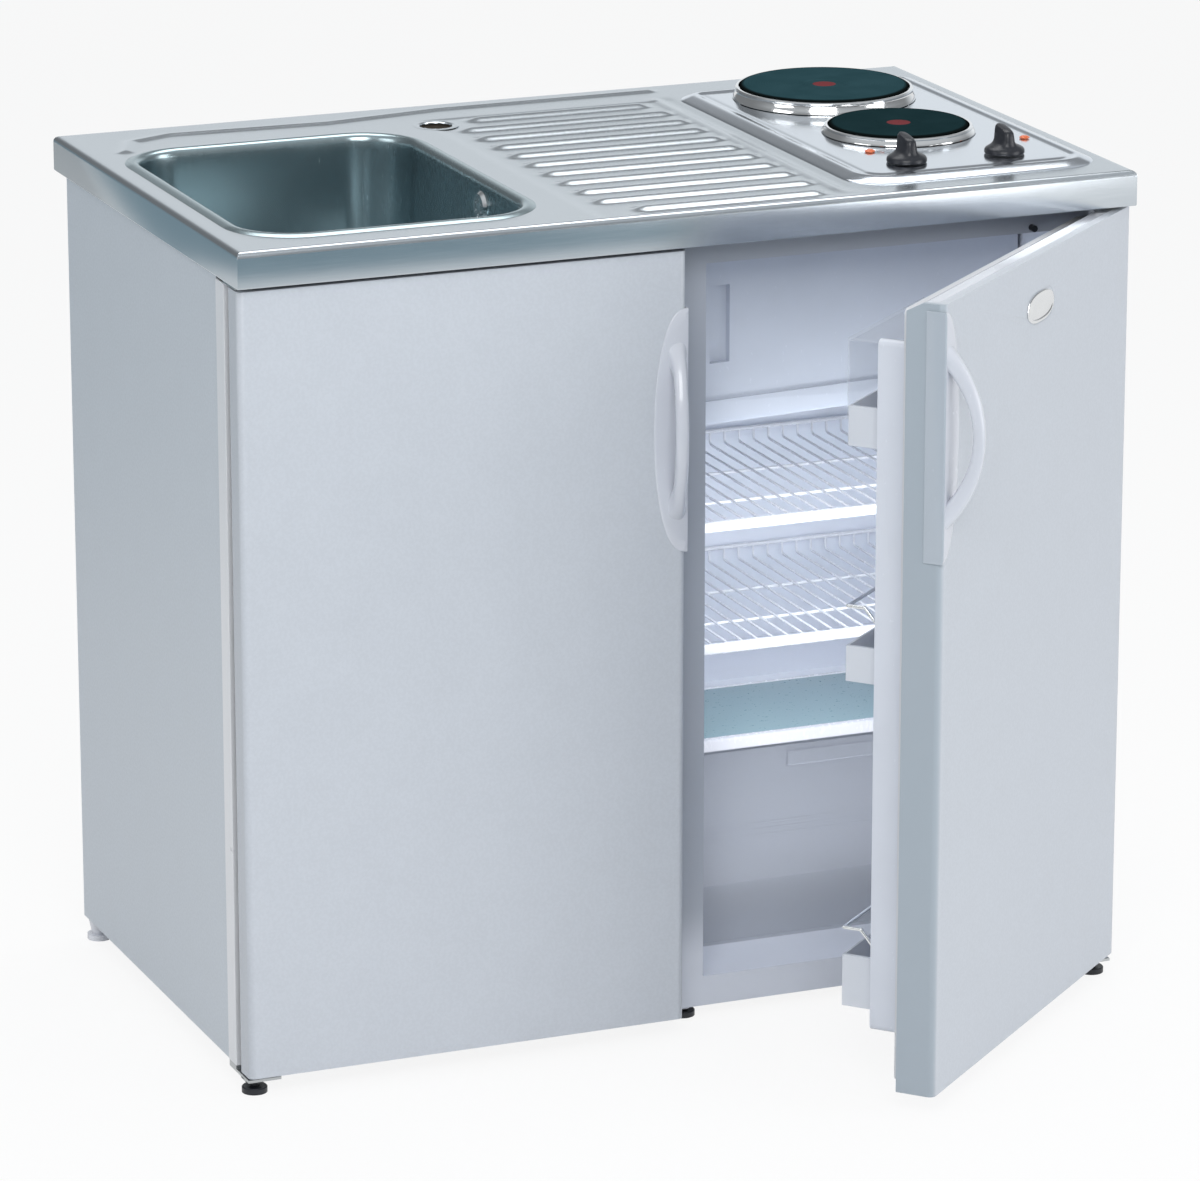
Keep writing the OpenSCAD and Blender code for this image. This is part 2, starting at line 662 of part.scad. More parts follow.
module case_shell() color(coat) difference() {
    case_solid(case_x0, case_x1, case_yf + 2, 0, 0);
    case_solid(case_x0 + skin_t, case_x1 - skin_t, case_yf - 5, skin_t, skin_t);
    for (x = case_foot_xs) translate([x, case_foot_y, 0]) cylinder(40, 8.05, 8.05);
}

module case_insulation() color([0.93, 0.88, 0.62]) difference() {
    case_solid(case_x0 + skin_t, case_x1 - skin_t, case_yf + 2, skin_t, skin_t);
    case_solid(cav_x0 - liner_t, cav_x1 + liner_t, case_yf - 5, wall_t - liner_t,
        wall_t + 9 - liner_t);
    for (x = case_foot_xs) translate([x, case_foot_y, 0]) cylinder(40, 8.05, 8.05);
    translate([lamp_x, case_yf - 2, lamp_z]) rotate([-90, 0, 0]) cylinder(24, 7, 7);
}

lamp_x = cav_x1 - 52;
lamp_z = cav_z1 + 5.6;
lamp_r = 3.5;

module case_liner() color(white) {
    difference() {
        union() {
            case_solid(cav_x0 - liner_t, cav_x1 + liner_t, case_yf + 1, wall_t - liner_t,
                wall_t + 9 - liner_t);
            box(case_x0, case_x1, case_yf, case_yf + 2, case_z0, case_z1);
            // guide of the lamp switch behind the front flange
            translate([lamp_x, case_yf + 1, lamp_z]) rotate([-90, 0, 0]) cylinder(19, 6.2, 6.2);
        }
        case_solid(cav_x0, cav_x1, case_yf - 5, wall_t, wall_t + 9);
        translate([lamp_x, case_yf - 2, lamp_z]) rotate([-90, 0, 0])
            cylinder(19, lamp_r + pin_clr, lamp_r + pin_clr);
    }
    // moulded ledges for the shelves and the crisper lid
    for (z = [shelf_hi - 4.4, shelf_lo - 4.4]) for (s = [0, 1]) {
        x = s == 0 ? cav_x0 : cav_x1 - 12;
        box(x, x + 12, inner_y, cav_yr, z - 5, z);
    }
    for (s = [0, 1]) {
        x = s == 0 ? cav_x0 : cav_x1 - 12;
        box(x, x + 12, inner_y, hump_y, cover_z - 10, cover_z - 5.1);
    }
}

// aluminium freezer box with the tabs that hold the flap
module evaporator() color([0.82, 0.84, 0.86]) {
    x0 = cav_x0 + 14;
    x1 = cav_x1 - 14;
    difference() {
        box(x0, x1, evap_y0, cav_yr - 16, evap_z0, cav_z1 - 6);
        box(x0 + 1.6, x1 - 1.6, evap_y0 - 1, cav_yr - 17.6, evap_z0 + 1.6, cav_z1 - 7.6);
    }
    for (x = [x0 + 60, x1 - 60], y = [evap_y0 + 50, cav_yr - 60])
        translate([x, y, cav_z1 - 6]) cylinder(6, 5, 5);
    // lower tab and pin
    box(flap_x - 8, flap_x + 6, flap_y - 6, evap_y0 + 8, flap_z0 - 4.5, flap_z0 - 1.5);
    box(flap_x - 8, x1, evap_y0, evap_y0 + 8, flap_z0 - 1.5, evap_z0);
    translate([flap_x, flap_y, flap_z0 - 1.5]) cylinder(13, 2.5, 2.5);
    // upper tab and pin
    box(flap_x - 8, flap_x + 6, flap_y - 6, evap_y0 + 8, cav_z1 - 2.6, cav_z1);
    translate([flap_x, flap_y, flap_z1 - 11]) cylinder(cav_z1 - 2.6 - flap_z1 + 11, 2.5, 2.5);
    box(flap_x - 8, x1, evap_y0, evap_y0 + 8, cav_z1 - 6, cav_z1 - 2.6);
}

module freezer_flap() color(white) at_flap() difference() {
    union() {
        slab2(cav_x0 + 16, flap_x + 6, flap_y - 6, flap_y + 6, flap_z0, flap_z1, 6);
        // rolled lower lip
        box(cav_x0 + 22, flap_x - 14, flap_y - 9, flap_y - 5, flap_z0 + 4, flap_z0 + 26);
    }
    // finger recess
    box(cav_x0 + 40, cav_x0 + 64, flap_y - 10, flap_y + 2, flap_z0 + 66, flap_z0 + 150);
    translate([flap_x, flap_y, flap_z0 - 1]) cylinder(14, 2.56, 2.56);
    translate([flap_x, flap_y, flap_z1 - 12]) cylinder(14, 2.56, 2.56);
}

// plate standing in the XZ plane with rounded corners
module slab2(x0, x1, y0, y1, z0, z1, r) {
    translate([0, y1, 0]) rotate([90, 0, 0]) linear_extrude(y1 - y0) rrect(x0, x1, z0, z1, r);
}

module slat_shelf(z) color(white) {
    x0 = cav_x0 + 3;
    x1 = cav_x1 - 3;
    y0 = inner_y;
    y1 = cav_yr - 6;
    p = (x1 - x0 - 20) / slot_n;
    difference() {
        box(x0, x1, y0, y1, z - 4, z);
        for (i = [0 : slot_n - 1])
            box(x0 + 10 + (i + 0.5) * p - 3, x0 + 10 + (i + 0.5) * p + 3, y0 + 14, y1 - 12, z - 6, z + 2);
    }
    // front bar and rear stop
    translate([x0 + 12, y0, z - 12]) cube([x1 - x0 - 24, 8, 14]);
    box(x0, x1, y1 - 5, y1, z, z + 16);
}

module shelf_upper() slat_shelf(shelf_hi);
module shelf_lower() slat_shelf(shelf_lo);

module crisper_cover() color(clear) {
    box(cav_x0 + 2, cav_x1 - 2, inner_y, hump_y - 3, cover_z - 5, cover_z);
    box(cav_x0 + 13, cav_x1 - 13, inner_y - 4, inner_y + 6, cover_z - 12, cover_z + 2);
}

module crisper() color(clear) {
    x0 = cav_x0 + 14;
    x1 = cav_x1 - 14;
    y0 = inner_y;
    y1 = hump_y - 4;
    z0 = cav_z0 + 0.6;
    z1 = cover_z - 15;
    difference() {
        slab(x0, x1, y0, y1, z0, z1, 16);
        slab(x0 + 2.4, x1 - 2.4, y0 + 2.4, y1 - 2.4, z0 + 2.4, z1 + 1, 13.6);
    }
    // pull lip and stiffening ribs on the front
    box(x0 + 120, x1 - 120, y0 - 5, y0 + 2, z1 - 22, z1 - 6);
    for (i = [0 : 2]) box(x0 + 20, x1 - 20, y0 - 1, y0 + 1, z0 + 117.4 + i * 7, z0 + 119.9 + i * 7);
}

dial_y = inner_y + 114;
dial_z = flap_z0 - 45;

module thermostat_box() color(white) difference() {
    box(cav_x1 - 36, cav_x1 - 0.1, dial_y - 32, dial_y + 108, dial_z - 37, dial_z + 37);
    box(cav_x1 - 33, cav_x1 - 3, dial_y - 29, dial_y + 105, dial_z - 34, dial_z + 34);
    translate([cav_x1 - 40, dial_y, dial_z]) rotate([0, 90, 0]) cylinder(20, 4.05, 4.05);
}

module thermostat_dial() color(white) translate([cav_x1 - 36.5, dial_y, dial_z]) rotate([0, -90, 0]) {
    cylinder(4, 20, 19);
    translate([0, 0, 4]) cylinder(8, 15, 14);
    translate([-12, -2, 11]) cube([24, 4, 3]);
    translate([0, 0, -12]) cylinder(13, 3.98, 3.98);
}

module lamp_switch() color(black) translate([lamp_x, case_yf, lamp_z]) rotate([-90, 0, 0]) {
    translate([0, 0, -7.9]) cylinder(17, lamp_r, lamp_r);
}

module compressor() color(black) {
    cx = comp_x;
    cy = comp_y;
    z0 = comp_z;
    // mounting rail across the recess
    box(case_x0 + 2, case_x1 - 2, hump_y + wall_t + 0.2, cy + 58, z0, z0 + 2);
    for (x = [cx - 70, cx + 70], y = [cy - 45, cy + 45]) translate([x, y, z0 + 2]) cylinder(8, 9, 9);
    box(cx - 84, cx + 84, cy - 55, cy + 55, z0 + 10, z0 + 13);
    translate([cx, cy, z0 + 13]) {
        cylinder(22, 50, 62);
        translate([0, 0, 22]) cylinder(62, 62, 62);
        translate([0, 0, 84]) cylinder(26, 62, 44);
        translate([0, 0, 110]) cylinder(8, 44, 22);
    }
    translate([cx - 62, cy - 20, z0 + 45]) rotate([0, -90, 0]) cylinder(26, 18, 18);
    // pipe that joins the tube grid
    chain_rod([[cx - 86, cy - 20, z0 + 45], [cx - 100, cy - 20, z0 + 45], [cx - 100, grid_y, z0 + 45],
        [grid_x0, grid_y, z0 + 45], [grid_x0, grid_y, grid_z0 - 3.4]], 2.6);
    // drip tray resting on the dome
    difference() {
        box(cx - 60, cx + 60, cy - 45, cy + 45, z0 + 131, z0 + 153);
        box(cx - 57, cx + 57, cy - 42, cy + 42, z0 + 134, z0 + 160);
    }
}

// tube grid on the rear of the case
grid_x0 = case_x0 + 40;
grid_x1 = case_x1 - 40;
grid_y = case_yr + 14;
grid_z0 = hump_z + 26;

module condenser() color(black) {
    n = 11;
    p = (case_z1 - 30 - grid_z0) / n;
    w = (grid_x1 - grid_x0 - 28) / 12;
    chain_rod([for (i = [0 : n], k = [0, 1])
        [(i + k) % 2 == 0 ? grid_x0 : grid_x1, grid_y, grid_z0 + i * p]], 2.6);
    for (i = [0 : 12]) rod([grid_x0 + 14 + i * w, grid_y + 3.2, grid_z0 - 8],
        [grid_x0 + 14 + i * w, grid_y + 3.2, grid_z0 + n * p + 8], 1);
    for (x = [grid_x0 + 14, grid_x1 - 14], z = [grid_z0, grid_z0 + n * p])
        translate([x, case_yr, z]) rotate([-90, 0, 0]) cylinder(14, 4, 4);
}

// ---------------------------------------------------------------- doors

// folded door skin with rolled upright edges, open at the back
door_r = 7;
fill_t = skin_t + 0.1;

module door_skin(x0, x1, yb, z0, z1, t) difference() {
    door_block(x0, x1, yb, z0, z1, 0);
    door_block(x0, x1, yb + 1 + t, z0 + t, z1 - t, t);
}

// block that fills a door's outline, drawn in by t
module door_block(x0, x1, yb, z0, z1, t) translate([0, 0, z0]) linear_extrude(z1 - z0)
    door_profile(x0 + t, x1 - t, door_yf + t, yb - t, door_r - t);

module door_profile(x0, x1, y0, y1, r) {
    translate([x0 + r, y0]) square([x1 - x0 - 2 * r, y1 - y0]);
    translate([x0, y0 + r]) square([x1 - x0, y1 - y0 - r]);
    for (x = [x0 + r, x1 - r]) translate([x, y0 + r]) circle(r);
}

// chamfer that lets the hinge edge turn past the frame
module hinge_chamfer(s, x, yb, z0, z1) {
    translate([x, yb, z0 - 1]) linear_extrude(z1 - z0 + 2)
        polygon([[-s * 1, 1], [s * -1, -10.5], [0, -10.5], [s * 10.5, 0], [s * 10.5, 1]]);
}

module cdoor_skin() color(coat) difference() {
    door_skin(cdoor_x0, cdoor_x1, cdoor_yb, door_z0, door_z1, skin_t);
    hinge_chamfer(1, cdoor_x0, cdoor_yb, door_z0, door_z1);
    for (z = [door_z0 - 1, door_z1 - 3]) translate([chinge_x, chinge_y, z]) cylinder(5, 7, 7);
}

module cdoor_back() color(coat) {
    difference() {
        box(cdoor_x0 + 12, cdoor_x1 - fill_t, cdoor_yb - skin_t, cdoor_yb, door_z0 + fill_t,
            door_z1 - fill_t);
        for (i = [0 : 3]) slab2(cdoor_x0 + 97 + i * 90, cdoor_x0 + 157 + i * 90, cdoor_yb - 5,
            cdoor_yb + 5, door_z1 - 357, door_z1 - 351, 2.9);
    }
    // striker for the magnet
    box(cdoor_x1 - 52, cdoor_x1 - 20, cdoor_yb - 0.1, cdoor_yb + 1, catch_z - 8, catch_z + 8);
}

module cdoor_bushes() color(white) for (z = [door_z0 + fill_t, door_z1 - fill_t - 20.5]) difference() {
    box(cdoor_x0 + 3, cdoor_x0 + 34, door_yf + 6, cdoor_yb - 12, z, z + 20.5);
    translate([chinge_x, chinge_y, z - 1]) cylinder(23, pin_r + pin_clr, pin_r + pin_clr);
}

// bow handle on a free door edge: x runs in from the edge, y out of the face, z along it
bow_half = (handle_l - 62) / 2;
bow_end = 30;
bow_t = 13;
bow_w = 14;
bow_x0 = 2;
bow_tilt = 15;
pad_w = 38;
pad_t = 2;

// disc whose part above the axis is 2 * a long and h high
module bow_disc(a, h) {
    r = (a * a + h * h) / (2 * h);
    translate([0, h - r]) circle(r, $fn = 180);
}

module bow_handle() {
    intersection() {
        rotate([0, 0, -bow_tilt]) translate([bow_x0, 0, 0]) rotate([0, 90, 0]) linear_extrude(bow_w)
            difference() {
                bow_disc(bow_half, handle_p);
                bow_disc(bow_half - bow_end, handle_p - bow_t);
            }
        box(-10, pad_w + 20, pad_t / 2, handle_p + 10, -bow_half - 10, bow_half + 10);
    }
    // pad on the face and flange round the edge
    box(-1.6, pad_w, 0, pad_t, -handle_l / 2, handle_l / 2);
    box(-1.6, 0, -20, pad_t, -handle_l / 2, handle_l / 2);
}

module cdoor_handle() color(white) translate([cdoor_x1, door_yf, chandle_z]) mirror([1, 0, 0])
    mirror([0, 1, 0]) bow_handle();

module fdoor_handle() color(white) at_fdoor() translate([fdoor_x0, door_yf, fhandle_z])
    mirror([0, 1, 0]) bow_handle();

module fdoor_skin() color(coat) at_fdoor() difference() {
    door_skin(fdoor_x0, fdoor_x1, fdoor_yb, door_z0, door_z1, skin_t);
    // open for the end caps
    box(fdoor_x0 + 10, fdoor_x1 - 10, door_yf + 10, fdoor_yb + 5, door_z0 - 5, door_z0 + 5);
    box(fdoor_x0 + 10, fdoor_x1 - 10, door_yf + 10, fdoor_yb + 5, door_z1 - 5, door_z1 + 5);
    top_slope(0);
    // oval badge seat
    slab2(badge_x - 36, badge_x + 36, door_yf - 1, door_yf + 0.4, badge_z - 17, badge_z + 17, 16.9);
}

// cuts the door's top to its slope
module top_slope(d) translate([0, door_yf + 24, door_z1 - d]) rotate([-28, 0, 0])
    box(fdoor_x0 - 5, fdoor_x1 + 5, 0, 60, 0, 30);

// end caps that fill the skin at top and bottom and turn on the pins
module fdoor_caps() color(white) at_fdoor() difference() {
    union() {
        difference() {
            door_block(fdoor_x0, fdoor_x1, fdoor_yb + fill_t, door_z1 - 22, door_z1 - fill_t, fill_t);
            top_slope(1.4);
        }
        door_block(fdoor_x0, fdoor_x1, fdoor_yb + fill_t, door_z0 + fill_t, door_z0 + 20, fill_t);
    }
    for (z = [door_z0 - 1, door_z1 - 24]) translate([fhinge_x, hinge_y, z])
        cylinder(24, pin_r + pin_clr, pin_r + pin_clr);
}

module fdoor_insulation() color([0.93, 0.88, 0.62]) at_fdoor()
    door_block(fdoor_x0, fdoor_x1, fdoor_yb - 0.1 + fill_t, door_z0 + 20.1, door_z1 - 22.1, fill_t);

// inner lining with the two upright cheeks that carry the racks
cheek_x0 = cav_x0 + 8;
cheek_x1 = cav_x1 - 12;
cheek_yf = fdoor_yb + 50;
rack_yf = fdoor_yb + 87;

module fdoor_liner() color(white) at_fdoor() {
    box(fdoor_x0 + 8, fdoor_x1 - 8, fdoor_yb, fdoor_yb + 1.5, door_z0 + 4, door_z1 - 12);
    difference() {
        for (x = [cheek_x0, cheek_x1 - 14])
            slab2(x, x + 14, fdoor_yb + 1.5, cheek_yf, cheek_z0, cheek_z1, 6.9);
        lid_axis(cheek_x0 + 6, cheek_x0 + 15, lid_r + pin_clr);
    }
    // post for the outer end of the lid's pivot
    difference() {
        box(lid_x1 + 0.8, lid_x1 + 6, fdoor_yb + 1.5, lid_y + 5, lid_z - 6, lid_z + 5);
        lid_axis(lid_x1, lid_x1 + 7, lid_r + pin_clr);
    }
    // bosses the racks hang on
    for (z = [rack_z[0] + 20, rack_z[1] + 12, rack_z[2] + 20])
        box(cheek_x0 + 14, cheek_x0 + 17, cheek_yf - 26, cheek_yf - 18, z, z + 10);
}

cheek_z0 = door_z0 + 44;
cheek_z1 = door_z1 - 55;
rack_z = [door_z1 - 172, door_z1 - 421, door_z0 + 62];

module door_gasket() color([0.16, 0.17, 0.18]) at_fdoor() difference() {
    slab2(cav_x0 - 20, fhinge_x, fdoor_yb + 1.5, case_yf - gap, case_z0 + 14, case_z1 - 13, 6);
    slab2(cav_x0 - 8, fhinge_x - 12, fdoor_yb, case_yf + 1, case_z0 + 26, lamp_z + lamp_r + 1.5, 4);
}

// open tray hung between the cheeks
module rack(z0, z1, xa, xb) {
    t = 2.2;
    x0 = xa + 14.6;
    x1 = xb - 14.6;
    difference() {
        union() {
            box(x0, x1, fdoor_yb + 1.9, cheek_yf + 0.4, z0, z1);
            box(xa + 12, xb - 12, cheek_yf + 0.4, rack_yf, z0, z1);
        }
        box(x0 + t, x1 - t, fdoor_yb + 1.9 + t, rack_yf - t, z0 + t, z1 + 1);
        box(x0 - 1, x0 + 3.4, cheek_yf - 27, cheek_yf - 17, z0 + 1, z1 - 4);
    }
}

module rack_top() color(white) at_fdoor()
    rack(rack_z[0], rack_z[0] + 42, cheek_x0, cheek_x1);

lid_x1 = cheek_x0 + 208;
lid_y = fdoor_yb + 6;
lid_z = rack_z[0] + 110;
lid_r = 2.4;

module lid_axis(x0, x1, r) translate([x0, lid_y, lid_z]) rotate([0, 90, 0]) cylinder(x1 - x0, r, r);

module butter_lid() color(clear) at_fdoor() {
    x0 = cheek_x0 + 14.8;
    box(x0, lid_x1, lid_y, rack_yf + 2.4, lid_z - 1, lid_z + 1.5);
    box(x0, lid_x1, rack_yf + 0.4, rack_yf + 2.4, rack_z[0] + 31, lid_z);
    lid_axis(cheek_x0 + 8, lid_x1 + 5, lid_r);
}

module rack_mid() color(white) at_fdoor() rack(rack_z[1], rack_z[1] + 38, cheek_x0, cheek_x1);
module rack_bottom() color(white) at_fdoor() rack(rack_z[2], rack_z[2] + 56, cheek_x0, cheek_x1);

module rack_wires() color(chrome_c) at_fdoor() for (z = [rack_z[1] + 82, rack_z[2] + 88]) {
    y = rack_yf - 4;
    chain_rod([[cheek_x0 + 7, cheek_yf, z - 16], [cheek_x0 + 7, cheek_yf + 14, z],
        [cheek_x0 + 7, y, z], [cheek_x1 - 7, y, z], [cheek_x1 - 7, cheek_yf + 14, z],
        [cheek_x1 - 7, cheek_yf, z - 16]], 2);
}

// ---------------------------------------------------------------- feet

module foot(x, y, top) color(black) translate([x, y, 0]) {
    cylinder(foot_h - 1, foot_r, foot_r);
    translate([0, 0, foot_h - 1]) cylinder(1, foot_r, foot_r - 1);
    cylinder(top, stem_r, stem_r);
}

module foot_left() foot(-foot_x, foot_y, plate_z0 - 0.6);
module foot_right() foot(foot_x, foot_y, plate_z0 - 0.6);
module foot_case_left() foot(case_foot_xs[0], case_foot_y, 28);
module foot_case_right() foot(case_foot_xs[1], case_foot_y, 28);

worktop();
worktop_core();
sink_bowl();
sink_fittings();
waste_trap();
plug_chain();
hob_panel();
hob_tray();
plate_rear();
plate_front();
trim_rings();
hob_switches();
indicator_lenses();
knob_left();
knob_right();
side_left();
side_right();
back_panel();
base_panel();
partition();
face_frame();
cross_rails();
cabinet_shelf();
hinge_brackets();
foot_sockets();
magnet_catch();
terminal_box();
case_shell();
case_insulation();
case_liner();
evaporator();
freezer_flap();
shelf_upper();
shelf_lower();
crisper_cover();
crisper();
thermostat_box();
thermostat_dial();
lamp_switch();
compressor();
condenser();
cdoor_skin();
cdoor_back();
cdoor_bushes();
cdoor_handle();
fdoor_skin();
fdoor_caps();
fdoor_insulation();
fdoor_liner();
door_gasket();
fdoor_handle();
rack_top();
butter_lid();
rack_mid();
rack_bottom();
rack_wires();
foot_left();
foot_right();
foot_case_left();
foot_case_right();
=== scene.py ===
"""Looks of a compact kitchen unit: steel worktop, bowl, drainer, hotplates, cupboard and refrigerator."""
import math

import bpy
import numpy as np
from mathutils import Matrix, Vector


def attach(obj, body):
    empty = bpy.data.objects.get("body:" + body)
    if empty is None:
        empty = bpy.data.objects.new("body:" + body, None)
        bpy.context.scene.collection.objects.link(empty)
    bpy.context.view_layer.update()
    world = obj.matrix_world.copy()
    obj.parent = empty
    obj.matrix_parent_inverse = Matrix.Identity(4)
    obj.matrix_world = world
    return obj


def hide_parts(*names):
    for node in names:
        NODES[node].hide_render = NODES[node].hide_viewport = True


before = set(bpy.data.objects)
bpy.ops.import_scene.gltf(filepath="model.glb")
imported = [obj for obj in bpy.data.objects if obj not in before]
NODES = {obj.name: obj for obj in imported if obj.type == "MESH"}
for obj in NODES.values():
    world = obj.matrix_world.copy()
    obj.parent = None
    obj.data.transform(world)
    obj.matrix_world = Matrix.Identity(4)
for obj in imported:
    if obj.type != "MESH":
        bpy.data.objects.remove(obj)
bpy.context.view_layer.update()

MM = 0.001

# ---------------------------------------------------------------- places, in millimetres
HALF_W, HALF_D = 500.0, 300.0  # half of the worktop's width and depth
TOP = 900.0  # level of the worktop
SKIRT = 862.0  # lower edge of its fold
FOLD_R = 6.0  # rounding between top and fold
BOWL = (-461.0, -155.0, -245.0, 175.0, 60.0)  # x0, x1, y0, y1, corner radius
BOWL_FLOOR = 750.0
WASTE = (-308.0, -35.0)  # x, y
CHAIN_TOP = (-163.2, -87.0, 861.0)
PLUG = (-211.0, -127.0)
TAP = (-100.0, 193.0, 17.5)  # x, y, radius
RIBS = [203.0 - 47.0 * i for i in range(11)]  # y of the drainer's ribs
BORDER = [(-454, 190), (-432, 236), (-385, 255), (-205, 247), (-70, 268), (182, 270)]  # border bead
HOB = (196.0, 484.0, -262.0, 236.0)  # x0, x1, y0, y1
HOB_TOP = 906.0
PLATES = {"rear": (340.0, 145.0, 93.0, 15.0), "front": (340.0, -49.0, 75.0, 10.0)}  # x, y, radius, height
KNOBS = {"left": (283.0, -192.0), "right": (397.0, -192.0)}
DOOR_FACE = -290.0  # y of both doors' faces when shut
CUPBOARD_PULL = (-10.0, 667.0)  # x of the door's free edge, z of the pull
FRIDGE_PULL = (-4.0, 720.0)
HINGE = (480.0, -268.0)  # x, y of the refrigerator door's axis
OPEN = math.radians(41.6)  # pictured angle of the refrigerator door
BADGE = (246.0, 802.0)  # x, z on the shut door
CAVITY = (37.0, 457.0)  # x between the refrigerator's walls
SHELF_DEPTH = (-152.0, 164.0)
SHELF_LEVELS = {"upper": 520.2, "lower": 384.2}


def door_point(p):
    """Points given on the shut refrigerator door, turned about its hinge by the pictured angle."""
    p = np.asarray(p, float)
    c, s = math.cos(OPEN), math.sin(OPEN)
    x, y = p[..., 0] - HINGE[0], p[..., 1] - HINGE[1]
    return np.stack([HINGE[0] + c * x - s * y, HINGE[1] + s * x + c * y, p[..., 2]], -1)


# ---------------------------------------------------------------- shader maths
class V:
    """A shader socket that takes part in ordinary sums."""

    def __init__(self, nodes, socket):
        self.nodes, self.socket = nodes, socket

    def op(self, kind, *args, clamp=False):
        """One step of a sum."""
        return self.nodes.node("ShaderNodeMath", operation=kind, use_clamp=clamp,
                               inputs=dict(enumerate(args)))

    def __add__(self, o): return self.op("ADD", self, o)
    def __sub__(self, o): return self.op("SUBTRACT", self, o)
    def __mul__(self, o): return self.op("MULTIPLY", self, o)
    def __truediv__(self, o): return self.op("DIVIDE", self, o)
    def __rsub__(self, o): return self.op("SUBTRACT", o, self)
    def __rtruediv__(self, o): return self.op("DIVIDE", o, self)
    __radd__, __rmul__ = __add__, __mul__

    def clip(self): return self.op("MULTIPLY", self, 1.0, clamp=True)
    def sqrt(self): return self.op("SQRT", self)
    def sin(self): return self.op("SINE", self)
    def larger(self, o): return self.op("MAXIMUM", self, o)

    def ramp(self, a, b, low=0.0, high=1.0):
        """low below a, high above b, smooth between; low and high are numbers or sockets."""
        return self.nodes.node("ShaderNodeMapRange", interpolation_type="SMOOTHSTEP",
                               inputs={"Value": self, "From Min": a, "From Max": b,
                                       "To Min": low, "To Max": high})


class Nodes:
    """The node tree of a material or of the world; every node is added here."""

    def __init__(self, tree):
        self.tree = tree

    def node(self, kind, out=0, inputs=None, **settings):
        """Adds a node, sets its settings and then its sockets, and gives one of its outputs."""
        n = self.tree.nodes.new(kind)
        for key, value in settings.items():
            setattr(n, key, value)
        for key, value in (inputs or {}).items():
            if isinstance(value, V):
                self.tree.links.new(value.socket, n.inputs[key])
            else:
                n.inputs[key].default_value = value
        return V(self, n.outputs[out])

    def place(self, kind):
        """A texture coordinate and its x, y and z."""
        pos = self.node("ShaderNodeTexCoord", out=kind)
        split = self.node("ShaderNodeSeparateXYZ", inputs={0: pos}).socket.node
        return [pos] + [V(self, socket) for socket in split.outputs]

    def mix(self, fac, a, b):
        """Colour a where fac is 0 and b where it is 1."""
        n = self.node("ShaderNodeMix", data_type="RGBA").socket.node
        for key, value in (("Factor", fac), ("A", a), ("B", b)):
            sock = next(s for s in n.inputs if s.name == key and s.enabled)
            if isinstance(value, V):
                self.tree.links.new(value.socket, sock)
            else:
                sock.default_value = (*value, 1.0) if isinstance(value, tuple) else value
        return V(self, next(s for s in n.outputs if s.enabled))


class Mat(Nodes):
    """A Principled material whose varying inputs are written as sums of V."""

    def __init__(self, name, colour, rough, metal=0.0, **constants):
        self.m = bpy.data.materials.new(name)
        self.m.use_nodes = True
        super().__init__(self.m.node_tree)
        self.bsdf = self.tree.nodes["Principled BSDF"]
        self.pos, self.x, self.y, self.z = self.place("Object")
        self.put("Base Color", (*colour, 1.0))
        self.put("Roughness", rough)
        self.put("Metallic", metal)
        for key, value in constants.items():
            self.put(key.replace("_", " "), value)

    def put(self, name, value):
        """Sets or links an input of the shader."""
        if isinstance(value, V):
            self.tree.links.new(value.socket, self.bsdf.inputs[name])
        else:
            self.bsdf.inputs[name].default_value = value
        return self

    def noise(self, scale, detail=2.0, stretch=(1, 1, 1), rough=0.5):
        """Noise in the piece's own place, 0 to 1, squeezed by stretch along each axis."""
        at = self.node("ShaderNodeVectorMath", operation="MULTIPLY", inputs={0: self.pos, 1: stretch})
        return self.node("ShaderNodeTexNoise",
                         inputs={"Vector": at, "Scale": scale, "Detail": detail, "Roughness": rough})

    def cells(self, scale):
        """Distance to the nearest of scattered points, for a grainy skin."""
        return self.node("ShaderNodeTexVoronoi", inputs={"Vector": self.pos, "Scale": scale})

    def relief(self, height, depth_mm, strength):
        """Bump from a 0..1 height, depth_mm deep."""
        b = self.node("ShaderNodeBump", inputs={"Height": height, "Strength": strength,
                                                "Distance": depth_mm * MM})
        return self.put("Normal", b)


def shade(colour, k):
    """The colour times k, kept at 1 or less."""
    return tuple(min(c * k, 1.0) for c in colour)


# ---------------------------------------------------------------- finishes
def steel_brushed(name, colour, rough, along=0, streak=1.0):
    """Stainless sheet: noise drawn out along one axis gives grinding streaks, a broad one faint clouds."""
    m = Mat(name, colour, rough, 1.0)
    stretch = [220.0, 220.0, 220.0]
    stretch[along] = 4.0
    fine = m.noise(4.0, 4.0, tuple(stretch), 0.7)
    broad = m.noise(5.0, 3.0)
    blend = (fine * 0.75 * streak + broad * 0.35).clip()
    m.put("Base Color", m.mix(blend, shade(colour, 0.86), shade(colour, 1.10)))
    m.put("Roughness", rough - 0.06 + fine * 0.12 * streak + (broad - 0.5) * 0.08)
    return m.relief(fine, 0.02, 0.6)


def powder_coat(name, colour, rough=0.42, grain=1.0):
    """Textured coating: fine orange peel, a denser speckle and slow shade changes, summed."""
    m = Mat(name, colour, rough)
    peel = m.noise(900.0, 2.0)
    spots = m.cells(520.0)
    slow = m.noise(22.0, 4.0, rough=0.62)
    speck = m.noise(330.0, 1.0).ramp(0.36, 0.66)
    blend = (slow * 0.55 + peel * 0.2 * grain + speck * 0.32 * grain).clip()
    m.tone = m.mix(blend, shade(colour, 0.93), shade(colour, 1.035))
    m.put("Base Color", m.tone)
    m.put("Roughness", rough + (slow - 0.5) * 0.12)
    return m.relief(peel * 0.7 + spots * 0.6, 0.05 * grain, 0.5)


